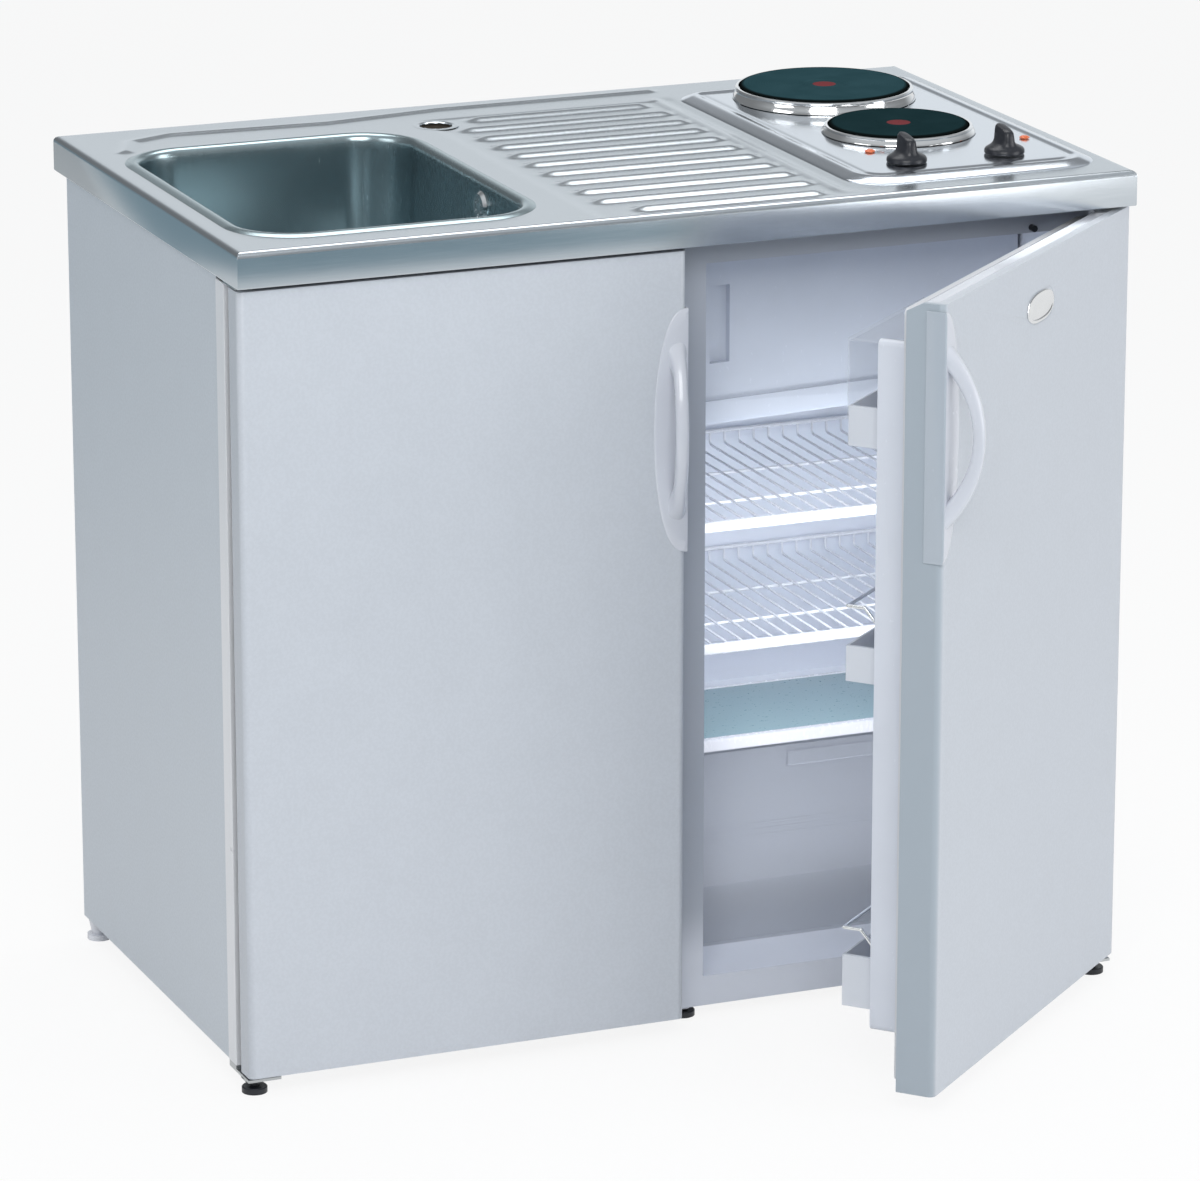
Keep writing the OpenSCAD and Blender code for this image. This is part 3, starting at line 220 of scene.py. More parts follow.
def moulded(name, colour, rough, vary=0.05, **constants):
    """Injection-moulded plastic: satin skin, slight sink clouds, light scuffs in the roughness."""
    m = Mat(name, colour, rough, **constants)
    cloud = m.noise(14.0, 3.0)
    scuff = m.noise(260.0, 3.0, (1, 1, 0.5))
    m.tone = m.mix(cloud, shade(colour, 1 - vary), shade(colour, 1 + vary))
    m.put("Base Color", m.tone)
    m.put("Roughness", rough + (scuff - 0.5) * 0.16)
    return m.relief(scuff, 0.012, 0.2)


def see_through(name, colour, rough, alpha):
    """Moulded plastic or glass that lets part of what is behind show."""
    m = moulded(name, colour, rough, 0.03)
    m.put("Alpha", alpha)
    m.put("IOR", 1.49)
    return m


def shaded_edge(m, colour, start, end):
    """Painted shade on the refrigerator door's free edge, which faces away from the light: fades out from
    start to end, in mm from that edge.
    """
    c, s = math.cos(OPEN), math.sin(OPEN)
    door_w = HINGE[0] - FRIDGE_PULL[0]
    from_edge = (m.x - HINGE[0] * MM) * c + (m.y - HINGE[1] * MM) * s + door_w * MM
    # mask of the painted shade along the free edge
    edge = 1.0 - from_edge.ramp(start * MM, end * MM)
    return m.put("Base Color", m.mix(edge, m.tone, colour))


def shaded_flange(m, colour):
    """Painted shade on the front flange of the refrigerator case, which lies in shade, less so along the
    sill.
    """
    flange_y, sill_z, sill_share = (-237.8, -236.6), (60.0, 130.0), 0.4
    flange = 1.0 - m.y.ramp(flange_y[0] * MM, flange_y[1] * MM)
    above_sill = m.z.ramp(sill_z[0] * MM, sill_z[1] * MM)
    # mask of the painted shade on the flange
    edge = flange * (above_sill * (1.0 - sill_share) + sill_share)
    return m.put("Base Color", m.mix(edge, m.tone, colour))


def chromed(name):
    """Polished chrome with a faint haze in its roughness and colour."""
    colour, rough = (0.86, 0.87, 0.88), 0.07
    m = Mat(name, colour, rough, 1.0)
    haze = m.noise(60.0, 3.0)
    m.put("Roughness", rough + haze * 0.06)
    m.put("Base Color", m.mix(haze, shade(colour, 0.94), colour))
    return m.relief(haze, 0.01, 0.2)


def hotplate_iron(key, dark, light):
    """Cast plate: a sine of the radius cuts turned grooves, a dark rim outside, a red spot in the middle."""
    cx, cy, radius, _ = PLATES[key]
    groove_pitch, rim_w, rim_line, spot_r, spot_fade = 2.8, 6.0, 1.0, 12.0, 1.5
    m = Mat("iron_" + key, dark, 0.42)
    dx, dy = m.x - cx * MM, m.y - cy * MM
    r = (dx * dx + dy * dy).sqrt()
    groove = (r * 2 * math.pi / (groove_pitch * MM)).sin() * 0.5 + 0.5
    grit = m.noise(700.0, 3.0)
    cloud = m.noise(26.0, 3.0)
    iron = m.mix((cloud * 0.8 + groove * 0.3).clip(), dark, light)
    rim = r.ramp((radius - rim_w) * MM, (radius - rim_line) * MM)
    iron = m.mix(rim, iron, (0.004, 0.006, 0.006))
    spot = 1.0 - r.ramp(spot_r * MM, (spot_r + spot_fade) * MM)
    m.put("Base Color", m.mix(spot, iron, (0.16, 0.04, 0.045)))
    m.put("Roughness", 0.44 + cloud * 0.2)
    m.put("Specular IOR Level", 0.0)
    return m.relief(groove * 0.7 + grit * 0.5, 0.12, 0.6)


DOOR_COAT = (0.545, 0.575, 0.625)
PULL_PLASTIC = dict(colour=(0.60, 0.62, 0.68), rough=0.24, vary=0.03, Coat_Weight=0.4)
MATS = {
    "worktop": steel_brushed("worktop_steel", (0.60, 0.645, 0.685), 0.24),
    # the bowl is the worktop's stainless steel; its much darker colour is painted shade for the inside of
    # the bowl
    "bowl": steel_brushed("bowl_steel_painted_shade", (0.38, 0.47, 0.50), 0.27, 2, 0.8),
    "hob": steel_brushed("hob_steel", (0.74, 0.785, 0.845), 0.17, 0, 0.6),
    "chrome": chromed("chrome"),
    "coat_door": powder_coat("door_coating", DOOR_COAT),
    # the free edge of the refrigerator door gets painted shade
    "coat_free_edge_shade": shaded_edge(powder_coat("fridge_door_coating_edge_shade", DOOR_COAT),
                                  (0.36, 0.41, 0.46), 1.2, 7.5),
    "coat_side": powder_coat("side_coating", (0.60, 0.645, 0.70), 0.46, 1.3),
    "coat_white": powder_coat("white_coating", (0.80, 0.81, 0.84), 0.3, 0.4),
    "plastic_white": moulded("white_plastic", (0.80, 0.81, 0.86), 0.26),
    "plastic_liner": moulded("liner_plastic", (0.64, 0.67, 0.74), 0.24),
    # the case's front flange gets painted shade
    "plastic_case_flange_shade": shaded_flange(moulded("case_liner_plastic_flange_shade", (0.80, 0.83, 0.91), 0.22),
                                  (0.40, 0.43, 0.49)),
    "plastic_flap": moulded("flap_plastic", (0.58, 0.62, 0.70), 0.24),
    "plastic_rack": see_through("rack_plastic", (0.72, 0.75, 0.81), 0.2, 0.80),
    "plastic_handle": moulded("handle_plastic", **PULL_PLASTIC),
    # the pull's flange on the door's free edge gets painted shade
    "plastic_pull": shaded_edge(moulded("fridge_pull_plastic_edge_shade", **PULL_PLASTIC),
                                (0.41, 0.455, 0.51), 0.2, 1.2),
    "plastic_grey": moulded("grey_plastic", (0.66, 0.67, 0.68), 0.45),
    "plastic_black": moulded("black_plastic", (0.012, 0.014, 0.020), 0.36, 0.2),
    "rubber": moulded("seal_rubber", (0.60, 0.61, 0.64), 0.6),
    "paint_black": powder_coat("black_paint", (0.015, 0.015, 0.016), 0.35),
    "zinc": steel_brushed("zinc_steel", (0.55, 0.57, 0.58), 0.42, 0, 0.5),
    "foam": moulded("foam", (0.75, 0.66, 0.38), 0.9),
    # the chipboard's brown is darkened almost to black as painted shade in the tap hole, where it shows
    "board": moulded("chip_board_with_painted_shade", (0.10, 0.085, 0.07), 0.85, 0.3),
    "alu": steel_brushed("evaporator_alu", (0.78, 0.80, 0.83), 0.38, 0, 0.3),
    "lens": moulded("lamp_lens", (0.70, 0.16, 0.06), 0.2),
    "clear": see_through("clear_plastic", (0.66, 0.70, 0.78), 0.10, 0.20),
    "glass": see_through("shelf_glass", (0.33, 0.47, 0.52), 0.30, 0.84),
    # both plates are the same cast iron; the front plate's colours, about half the rear plate's, are painted
    # shade
    "iron_rear": hotplate_iron("rear", (0.012, 0.036, 0.043), (0.030, 0.070, 0.083)),
    "iron_front": hotplate_iron("front", (0.006, 0.019, 0.022), (0.014, 0.034, 0.039)),
}
# finish of every node of the frame
FINISHES = {
    "worktop": "worktop",
    "board": "worktop_core",
    "bowl": "sink_bowl",
    "hob": "hob_panel",
    "iron_rear": "plate_rear",
    "iron_front": "plate_front",
    "lens": "indicator_lenses",
    "chrome": "sink_fittings plug_chain trim_rings rack_wires",
    "zinc": "hob_tray back_panel cross_rails hinge_brackets",
    "alu": "evaporator",
    "foam": "case_insulation fdoor_insulation",
    "rubber": "door_gasket",
    "glass": "crisper_cover",
    "clear": "crisper butter_lid",
    "coat_side": "side_left side_right base_panel",
    "coat_white": "partition face_frame cabinet_shelf",
    "coat_door": "case_shell cdoor_skin cdoor_back",
    "coat_free_edge_shade": "fdoor_skin",
    "paint_black": "compressor condenser",
    "plastic_case_flange_shade": "case_liner",
    "plastic_flap": "freezer_flap",
    "plastic_liner": "fdoor_liner",
    "plastic_rack": "rack_top rack_mid rack_bottom",
    "plastic_handle": "cdoor_handle fdoor_handle fdoor_caps",
    "plastic_grey": "waste_trap terminal_box",
    "plastic_white": "hob_switches foot_sockets magnet_catch shelf_upper shelf_lower thermostat_box "
                     "thermostat_dial cdoor_bushes",
    "plastic_black": "knob_left knob_right lamp_switch foot_left foot_right foot_case_left foot_case_right",
}
# edge rounding in mm
BEVELS = {"cdoor_skin": 1.6, "fdoor_skin": 1.6, "fdoor_caps": 1.0, "face_frame": 0.8, "side_left": 0.3,
          "side_right": 0.3, "case_liner": 0.8, "fdoor_liner": 1.2, "rack_top": 0.9, "rack_mid": 0.9,
          "rack_bottom": 0.9, "butter_lid": 0.6, "thermostat_box": 2.0, "freezer_flap": 1.5,
          "evaporator": 0.5, "crisper": 0.6, "hinge_brackets": 0.5, "case_shell": 0.4}


def dress_nodes():
    """Gives every node of the frame its finish, and rounds the edges of those in BEVELS."""
    for key, names in FINISHES.items():
        for name in names.split():
            obj = NODES[name]
            obj.data.materials.clear()
            obj.data.materials.append(MATS[key].m)
            if name in BEVELS:
                weld = obj.modifiers.new("weld", "WELD")
                weld.merge_threshold = 0.01 * MM
                edge = obj.modifiers.new("edge", "BEVEL")
                edge.width, edge.segments, edge.limit_method = BEVELS[name] * MM, 2, "ANGLE"
                edge.angle_limit = math.radians(40)
                edge.harden_normals = True


# ---------------------------------------------------------------- mesh tools
def piece(name, verts, faces, mat, body, slot, replaces=()):
    """Makes a mesh piece from points in mm and lists of corner numbers."""
    me = bpy.data.meshes.new(name)
    me.from_pydata((np.asarray(verts, float) * MM).tolist(), [], [list(map(int, f)) for f in faces])
    me.validate()
    me.update()
    me.polygons.foreach_set("use_smooth", [True] * len(me.polygons))
    me.set_sharp_from_angle(angle=math.radians(38))
    me.materials.append(MATS[mat].m)
    obj = bpy.data.objects.new(name, me)
    bpy.context.scene.collection.objects.link(obj)
    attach(obj, body)
    if replaces:
        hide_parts(*replaces)


def strip(n_rings, n_pts):
    """Quads between neighbouring closed rings of n_pts points each."""
    i, j = np.meshgrid(np.arange(n_rings - 1), np.arange(n_pts), indexing="ij")
    a = i * n_pts + j
    b = i * n_pts + (j + 1) % n_pts
    return np.stack([a, b, b + n_pts, a + n_pts], -1).reshape(-1, 4).tolist()


def loft(rings, cap_first=False, cap_last=False):
    """Points and faces of a skin over closed rings, shape (rings, points, 3)."""
    rings = np.asarray(rings, float)
    n, m = rings.shape[:2]
    faces = strip(n, m)
    if cap_first:
        faces.append(list(range(m))[::-1])
    if cap_last:
        faces.append(list(range((n - 1) * m, n * m)))
    return rings.reshape(-1, 3), faces


def join(*parts):
    """Puts several (points, faces) together."""
    pts, faces, k = [], [], 0
    for p, f in parts:
        pts.append(np.asarray(p, float))
        faces += [[c + k for c in face] for face in f]
        k += len(p)
    return np.concatenate(pts), faces


def solid_side(pts, faces):
    """Turns the faces round if the volume that they enclose, summed over fans of triangles, is negative."""
    pts = np.asarray(pts, float)
    volume = sum(pts[f[0]] @ np.cross(pts[f[k]], pts[f[k + 1]]) for f in faces for k in range(1, len(f) - 1))
    return [f[::-1] for f in faces] if volume < 0 else faces


def outline(x0, x1, y0, y1, radii, o=0.0, n=12):
    """Rounded rectangle grown outward by o; radii for its four corners from (x0, y0) anticlockwise."""
    pts = []
    corners = [(x0, y0, 1, 1, 180), (x1, y0, -1, 1, 270), (x1, y1, -1, -1, 0), (x0, y1, 1, -1, 90)]
    for (x, y, sx, sy, a0), r in zip(corners, radii):
        a = np.radians(a0 + np.linspace(0, 90, n))
        k = max(r + o, 0.02)
        pts.append(np.stack([x + sx * (k - o) + k * np.cos(a), y + sy * (k - o) + k * np.sin(a)], -1))
    return np.concatenate(pts)


def ring_at(plan, z):
    """A plan's points at one height."""
    return np.column_stack([plan, np.full(len(plan), float(z))])


def rounded_rings(box, radii, steps, n):
    """Rings of a rounded rectangle, one for each (outward, height) step."""
    return [ring_at(outline(*box, radii, o, n), z) for o, z in steps]


def lathe(profile, centre, n=96):
    """Turns (radius, height) points about an upright axis through centre."""
    a = np.linspace(0, 2 * math.pi, n, endpoint=False)
    rings = [np.stack([centre[0] + r * np.cos(a), centre[1] + r * np.sin(a), np.full(n, z)], -1)
             for r, z in profile]
    return loft(rings)


def tube(path, radius, n=10):
    """Round rod: a circle carried along the path, kept from twisting by dropping its part along the path."""
    path = np.asarray(path, float)
    t = np.gradient(path, axis=0)
    t /= np.linalg.norm(t, axis=1)[:, None]
    up = np.array([0, 0, 1.0]) if abs(t[0][2]) < 0.9 else np.array([1.0, 0, 0])
    u = np.cross(up, t[0])
    u /= np.linalg.norm(u)
    a = np.linspace(0, 2 * math.pi, n, endpoint=False)
    rings = []
    for p, d in zip(path, t):
        u = u - d * (u @ d)
        u /= np.linalg.norm(u)
        v = np.cross(d, u)
        rings.append(p + radius * (np.cos(a)[:, None] * u + np.sin(a)[:, None] * v))
    return loft(rings, True, True)


def bent(points, radius, n=6):
    """Polyline with its corners rounded by quadratic arcs."""
    p = [np.asarray(q, float) for q in points]
    out = [p[0]]
    for a, b, c in zip(p, p[1:], p[2:]):
        r = min(radius, np.linalg.norm(a - b) / 2.1, np.linalg.norm(c - b) / 2.1)
        s = b + (a - b) / np.linalg.norm(a - b) * r
        e = b + (c - b) / np.linalg.norm(c - b) * r
        for t in np.linspace(0, 1, n):
            out.append((1 - t) ** 2 * s + 2 * t * (1 - t) * b + t * t * e)
    out.append(p[-1])
    return np.array(out)


def slab(x0, x1, y0, y1, z0, z1, r=1.5, n=3):
    """Block with rounded edges: its outline shrinks along a quarter circle at the bottom and at the top."""
    r = min(r, (x1 - x0) / 2.05, (y1 - y0) / 2.05, (z1 - z0) / 2.05)
    quarter = np.radians(np.linspace(0, 90, n))
    low = [(r * math.sin(q) - r, z0 + r - r * math.cos(q)) for q in quarter]
    high = [(r * math.cos(q) - r, z1 - r + r * math.sin(q)) for q in quarter]
    return loft(rounded_rings((x0, x1, y0, y1), [r] * 4, low + high, 4), True, True)


def squared(angle, power):
    """Cosine and sine of a superellipse: a circle whose halves are raised to the power."""
    c, s = np.cos(angle), np.sin(angle)
    return np.sign(c) * np.abs(c) ** power, np.sign(s) * np.abs(s) ** power


def smoothstep(v, a, b):
    """0 below a, 1 above b, 3t^2 - 2t^3 between."""
    t = np.clip((v - a) / (b - a), 0, 1)
    return t * t * (3 - 2 * t)


def plateau(v, a, b, c, d):
    """1 between b and c, falling smoothly to 0 at a and at d."""
    return smoothstep(v, a, b) * (1 - smoothstep(v, c, d))


# ---------------------------------------------------------------- worktop
def distance_to_line(x, y, line):
    """Distance to the nearest stretch of a polyline."""
    d = np.full_like(x, 1e9)
    for a, b in zip(line, line[1:]):
        a, b = np.array(a, float), np.array(b, float)
        v = b - a
        t = np.clip(((x - a[0]) * v[0] + (y - a[1]) * v[1]) / (v @ v), 0, 1)
        d = np.minimum(d, np.hypot(x - a[0] - t * v[0], y - a[1] - t * v[1]))
    return d


def worktop_height(x, y):
    """Relief of the pressed sheet above its level, in mm: a sunk field, ribs with a cosine section, a
    bell-shaped border bead, and a bell-shaped ridge and valley beside the hob."""
    field_sunk, rib_h, rib_half = 0.8, 3.0, 13.0
    bead_h, bead_w = 2.3, 6.0
    ridge_x, ridge_h, ridge_w = 171, 1.5, 5.0
    valley_x, valley_h, valley_w = 184, 0.9, 7.0
    lowest = -0.95
    field = plateau(x, -112, -96, 168, 182) * plateau(y, -292, -284, 214, 224)
    h = -field_sunk * field
    for i, yr in enumerate(RIBS):
        inset = 26 if i in (0, len(RIBS) - 1) else 0
        ends = plateau(x, -92 + inset, -70 + inset, 150 - inset / 3, 166 - inset / 3)
        w = np.clip(np.abs(y - yr) / rib_half, 0, 1)
        h += (rib_h + field_sunk * field) * ends * np.cos(w * math.pi / 2) ** 1.3
    h += bead_h * np.exp(-(distance_to_line(x, y, BORDER) / bead_w) ** 2)
    ridge = ridge_h * np.exp(-((x - ridge_x) / ridge_w) ** 2)
    valley = valley_h * np.exp(-((x - valley_x) / valley_w) ** 2)
    h += (ridge - valley) * plateau(y, -280, -250, 215, 240)
    return np.maximum(h, lowest)


def outside_rounded(x, y, x0, x1, y0, y1, r):
    """Signed distance outside a rounded rectangle."""
    qx = np.abs(x - (x0 + x1) / 2) - (x1 - x0) / 2 + r
    qy = np.abs(y - (y0 + y1) / 2) - (y1 - y0) / 2 + r
    return np.hypot(np.maximum(qx, 0), np.maximum(qy, 0)) + np.minimum(np.maximum(qx, qy), 0) - r


def make_worktop():
    """Height field over the plan, cut away under bowl, tap and hob, with rolled edges and a folded skirt."""
    step_x, step_y, lip, lip_t = 4.0, 2.0, 12.0, 1.4
    under_bowl, round_tap, under_hob, hob_corner = 7, 3.5, 8, 30
    edge = np.array([0, 0.35, 1.0, 2.0, 3.2, 4.6, FOLD_R])
    xs = np.concatenate([edge - HALF_W, np.arange(-490, 490.1, step_x), HALF_W - edge[::-1]])
    ys = np.concatenate([edge - HALF_D, np.arange(-292, 292.1, step_y), HALF_D - edge[::-1]])
    x, y = np.meshgrid(xs, ys, indexing="ij")
    d = np.minimum(HALF_W - np.abs(x), HALF_D - np.abs(y))
    roll = np.where(d < FOLD_R, np.sqrt(np.maximum(FOLD_R ** 2 - (FOLD_R - d) ** 2, 0)) - FOLD_R, 0)
    z = TOP + worktop_height(x, y) * smoothstep(d, 4, 14) + roll
    pts = np.stack([x, y, z], -1).reshape(-1, 3)
    nx, ny = len(xs), len(ys)
    i, j = np.meshgrid(np.arange(nx - 1), np.arange(ny - 1), indexing="ij")
    cx, cy = (xs[:-1] + xs[1:])[i] / 2, (ys[:-1] + ys[1:])[j] / 2
    keep = outside_rounded(cx, cy, *BOWL) > under_bowl
    keep &= np.hypot(cx - TAP[0], cy - TAP[1]) > TAP[2] + round_tap
    keep &= outside_rounded(cx, cy, *HOB, hob_corner) > -under_hob
    a = (i * ny + j)[keep]
    faces = np.stack([a, a + ny, a + ny + 1, a + 1], -1).tolist()
    fold = [(0.0, TOP - FOLD_R), (0.0, SKIRT + 1.5), (-0.4, SKIRT + 0.4), (-1.5, SKIRT), (-lip, SKIRT),
            (-lip, SKIRT + lip_t), (-2.2, SKIRT + lip_t), (-1.5, SKIRT + 3), (-1.5, TOP - 8)]
    skirt = loft(rounded_rings((-HALF_W, HALF_W, -HALF_D, HALF_D), [0.3] * 4, fold, 3))
    tap_edge = [(7.5, 0.05), (4, 0.3), (1.2, 0.1), (0.2, -0.6), (0, -1.5)]
    tap = lathe([(TAP[2] + o, TOP + h) for o, h in tap_edge], TAP, 64)
    piece("worktop_sheet", *join((pts, faces), skirt, tap), "worktop", "carcass", "stainless", ["worktop"])


def make_bowl():
    """Lofted bowl: rolled rim, drafted walls, foot along a quarter circle, floor falling to the waste."""
    n, foot_r, wall_in, draft, waste_r = 20, 38, 1.6, 2.2, 46
    wall_top, wall_end = -14, -112
    box, radii = BOWL[:4], [BOWL[4]] * 4
    rim = [(15, 0.1), (13, 0.9), (10.5, 2.0), (7.5, 2.7), (4.6, 2.5), (2.2, 1.5), (0.5, 0.0), (-0.6, -2.0),
           (-1.2, -6.0), (-wall_in, wall_top)]
    wall = [(-wall_in - draft * (wall_top - z) / (wall_top - wall_end), z)
            for z in np.linspace(-25, wall_end, 6)]
    foot = [(-wall_in - draft - foot_r * (1 - math.cos(q)), BOWL_FLOOR - TOP + foot_r * (1 - math.sin(q)))
            for q in np.radians([12, 26, 40, 55, 70, 82, 90])]
    rings = rounded_rings(box, radii, [(o, TOP + z) for o, z in rim + wall + foot], n)
    last = rings[-1]
    ang = np.arctan2(last[:, 1] - WASTE[1], last[:, 0] - WASTE[0])
    circle = ring_at(np.stack([WASTE[0] + waste_r * np.cos(ang), WASTE[1] + waste_r * np.sin(ang)], -1),
                     BOWL_FLOOR - 1.0)
    for t in (0.25, 0.5, 0.75, 1.0):
        rings.append(last * (1 - t) + circle * t)
    rings.append(circle - [0, 0, 2.0])
    under = [(15, TOP - 0.8), (0.0, TOP - 3.0), (0.0, TOP - 110), (-33, BOWL_FLOOR - 1.2)]
    outer = loft(rounded_rings(box, radii, under, n))
    piece("bowl_pressing", *join(loft(rings), outer), "bowl", "carcass", "stainless", ["sink_bowl"])


def make_hob():
    """Hob panel with a rolled rim and a pressed channel round its middle."""
    rim = [(0, 0), (-0.6, 0.7), (-2, 1.5), (-5, 2.7), (-8.5, 4.0), (-11.5, 5.1), (-14, 5.8), (-16, 6.0),
           (-18, 5.9), (-20, 5.2), (-22.5, 4.3), (-25, 4.2), (-27.5, 4.7), (-30, 5.2), (-33, 5.3)]
    rings = rounded_rings(HOB, [46, 46, 32, 32], [(o, TOP + z) for o, z in rim], 16)
    piece("hob_sheet", *loft(rings, False, True), "hob", "carcass", "stainless", ["hob_panel"])


def make_plates():
    """Turned hotplates with a dished middle, and their chromed rings, whose profile follows the height."""
    rings = []
    for key, (cx, cy, r, h) in PLATES.items():
        top = HOB_TOP + h
        casting = [(r - 12, HOB_TOP - 4), (r - 8, top - 9), (r - 1.5, top - 9), (r, top - 7.6),
                   (r, top - 2.4), (r - 0.7, top - 0.9), (r - 2.4, top - 0.2), (r - 5, top),
                   (r * 0.62, top), (30, top), (24, top - 0.1), (22, top - 1.1), (20.5, top - 1.5),
                   (14.6, top - 1.5), (13.6, top - 1.1), (12.8, top - 0.6), (8, top - 0.5),
                   (0.4, top - 0.5)]
        piece("plate_" + key + "_casting", *lathe(casting, (cx, cy), 120), "iron_" + key, "carcass",
              "cast_iron", ["plate_" + key])
        ring = [(r + 8.0, HOB_TOP), (r + 7.9, HOB_TOP + 0.9), (r + 6.6, HOB_TOP + h * 0.28),
                (r + 5.0, HOB_TOP + h * 0.5), (r + 4.6, top - 5.2), (r + 4.9, top - 3.6),
                (r + 4.2, top - 2.5), (r + 2.9, top - 2.1), (r + 1.6, top - 2.4), (r + 0.9, top - 3.6),
                (r + 0.7, top - 9)]
        rings.append(lathe(ring, (cx, cy), 120))
    piece("trim_ring_pair", *join(*rings), "chrome", "carcass", "chrome", ["trim_rings"])


def make_knobs():
    """Knob: superellipses from a flared round foot to a blade, sheared into a sloping crest."""
    a = np.linspace(0, 2 * math.pi, 64, endpoint=False)
    # half width, half length, height, squareness
    sections = [(21.3, 21.3, 0, 2), (21.5, 21.5, 1.2, 2), (21.2, 21.2, 3.4, 2), (20.2, 20.2, 5.0, 2),
                (17.6, 18.0, 6.6, 2), (13.8, 16.8, 8.2, 2.1), (10.4, 16.4, 10.4, 2.3),
                (8.2, 16.2, 13.5, 2.6), (7.4, 15.9, 17.5, 2.9), (6.9, 15.5, 22, 3.0), (6.3, 15.0, 26, 3.0),
                (4.9, 13.8, 28.4, 2.8), (2.0, 11.0, 29.3, 2.5)]
    lift, lean, drop, neck, blade = 0.8, 1.5, 6.0, 9, 25.0
    for key, (cx, cy) in KNOBS.items():
        rings = []
        for w, l, z, p in sections:
            c, s = squared(a, 2.0 / p)
            x, y = c * w, s * l
            tilt = max(z - neck, 0) / blade
            height = HOB_TOP + lift + z - tilt * drop * (1 - (y + 15) / 30)
            rings.append(np.stack([cx + x, cy + y + tilt * lean, height], -1))
        piece("knob_%s_cap" % key, *loft(rings, True, True), "plastic_black", "knob_" + key,
              "black_plastic", ["knob_" + key])


# ---------------------------------------------------------------- handles
def arc(half, rise, t):
    """Points (z, p) of a flat arc that is 2 * half long and rises by rise, for t from -1 to 1."""
    r = (half * half + rise * rise) / (2 * rise)
    a = math.asin(half / r) * t
    return np.stack([r * np.sin(a), rise - r + r * np.cos(a)], -1)


def bow_grip():
    """Bow: squared sections between an outer and an inner arc, wider at its ends, tilted from the face."""
    n_t, n_a, tilt = 80, 28, math.radians(15)
    mid_half_w, end_half_w, mid_u, end_u = 6.9, 7.0, 8.9, 5.0
    even = np.linspace(-1, 1, n_t)
    t = np.sin(even * math.pi / 2) * 0.5 + even * 0.5
    outer, inner = arc(99.0, 41.4, t), arc(70.0, 28.6, t)
    mid, half = (outer + inner) / 2, (outer - inner) / 2
    c, s = squared(np.linspace(0, 2 * math.pi, n_a, endpoint=False), 2 / 2.7)
    flare = np.abs(t[:, None]) ** 9
    u = mid_u + end_u * flare + (mid_half_w + end_half_w * flare) * s
    z = mid[:, :1] + half[:, :1] * c
    p = mid[:, 1:] + half[:, 1:] * c
    out = np.maximum(p * math.cos(tilt) - u * math.sin(tilt), 0.5)
    return loft(np.stack([u * math.cos(tilt) + p * math.sin(tilt), out, z], -1), True, True)


def bow_pad():
    """Leaf-shaped pad on the face: half an oval whose rings shrink towards its top."""
    pad_w, pad_half, past_edge = 38.0, 130, 1.4
    q = np.linspace(-math.pi / 2, math.pi / 2, 49)
    straight = [[-1.5, 120], [-1.5, 60], [-1.5, 0], [-1.5, -60], [-1.5, -120]]
    edge = np.concatenate([np.stack([pad_w * np.cos(q) ** 0.8 - past_edge, pad_half * np.sin(q)], -1),
                           straight])
    centre = np.array([8.0, 0.0])
    rings = []
    for shrink, p in ((0.0, 0.1), (0.0, 0.7), (0.012, 1.25), (0.04, 1.7), (0.09, 1.95)):
        ring = edge + (centre - edge) * shrink
        rings.append(np.stack([ring[:, 0], np.full(len(ring), p), ring[:, 1]], -1))
    return loft(rings, True, True)


def bow_flange():
    """Narrow flange on the door's free edge."""
    pts, faces = slab(-20, 1.4, -130, 130, -1.6, 0.0, 0.75, 4)
    return np.asarray(pts)[:, [2, 0, 1]], faces


def make_handles():
    """Two mirror-image bow handles: (u into the face, p out of it, z along it) laid on each door."""
    cupboard, fridge = [], []
    for pts, faces in (bow_grip(), bow_pad(), bow_flange()):
        u, p, z = np.asarray(pts, float).T
        a = np.stack([CUPBOARD_PULL[0] - u, DOOR_FACE - p, CUPBOARD_PULL[1] + z], -1)
        b = door_point(np.stack([FRIDGE_PULL[0] + u, DOOR_FACE - p, FRIDGE_PULL[1] + z], -1))
        cupboard.append((a, solid_side(a - a.mean(0), faces)))
        fridge.append((b, solid_side(b - b.mean(0), faces)))
    piece("cupboard_pull", *join(*cupboard), "plastic_handle", "cabinet_door", "white_plastic",
          ["cdoor_handle"])
    piece("fridge_pull", *join(*fridge), "plastic_pull", "fridge_door", "white_plastic", ["fdoor_handle"])


# ---------------------------------------------------------------- refrigerator
def make_shelves():
    """Wire shelf: front trim, side wires and thin wires running front to back, bent up at the back."""
    (x0, x1), (y0, y1) = CAVITY, SHELF_DEPTH
    frame_r, brace_r, wire_r, n_wires, margin = 2.4, 1.8, 1.35, 23, 14
    left, right, back = x0 + 4, x1 - 4, y1 - 3
    for name, z in SHELF_LEVELS.items():
        low, high = z - 3, z + 13
        surround = [(left, y0 + 6, low), (left, back, low), (left, back, high),
                    (right, back, high), (right, back, low), (right, y0 + 6, low)]
        parts = [tube(bent(surround, 6), frame_r)]
        parts += [tube([(left, y, z - 3.6), (right, y, z - 3.6)], brace_r) for y in (-60.0, 50.0)]
        for i in range(n_wires):
            x = x0 + margin + i * (x1 - x0 - 2 * margin) / (n_wires - 1)
            wire = [(x, y0 + 4, z - 1.6), (x, y1 - 4, z - 1.6), (x, y1 - 4, z + 12)]
            parts.append(tube(bent(wire, 5), wire_r, 8))
        parts.append(slab(x0 + 2, x1 - 2, y0, y0 + 9, z - 9, z + 1.8, 2.4, 5))
        piece("wire_shelf_" + name, *join(*parts), "plastic_white", "shelf_" + name, "white_plastic",
              ["shelf_" + name])


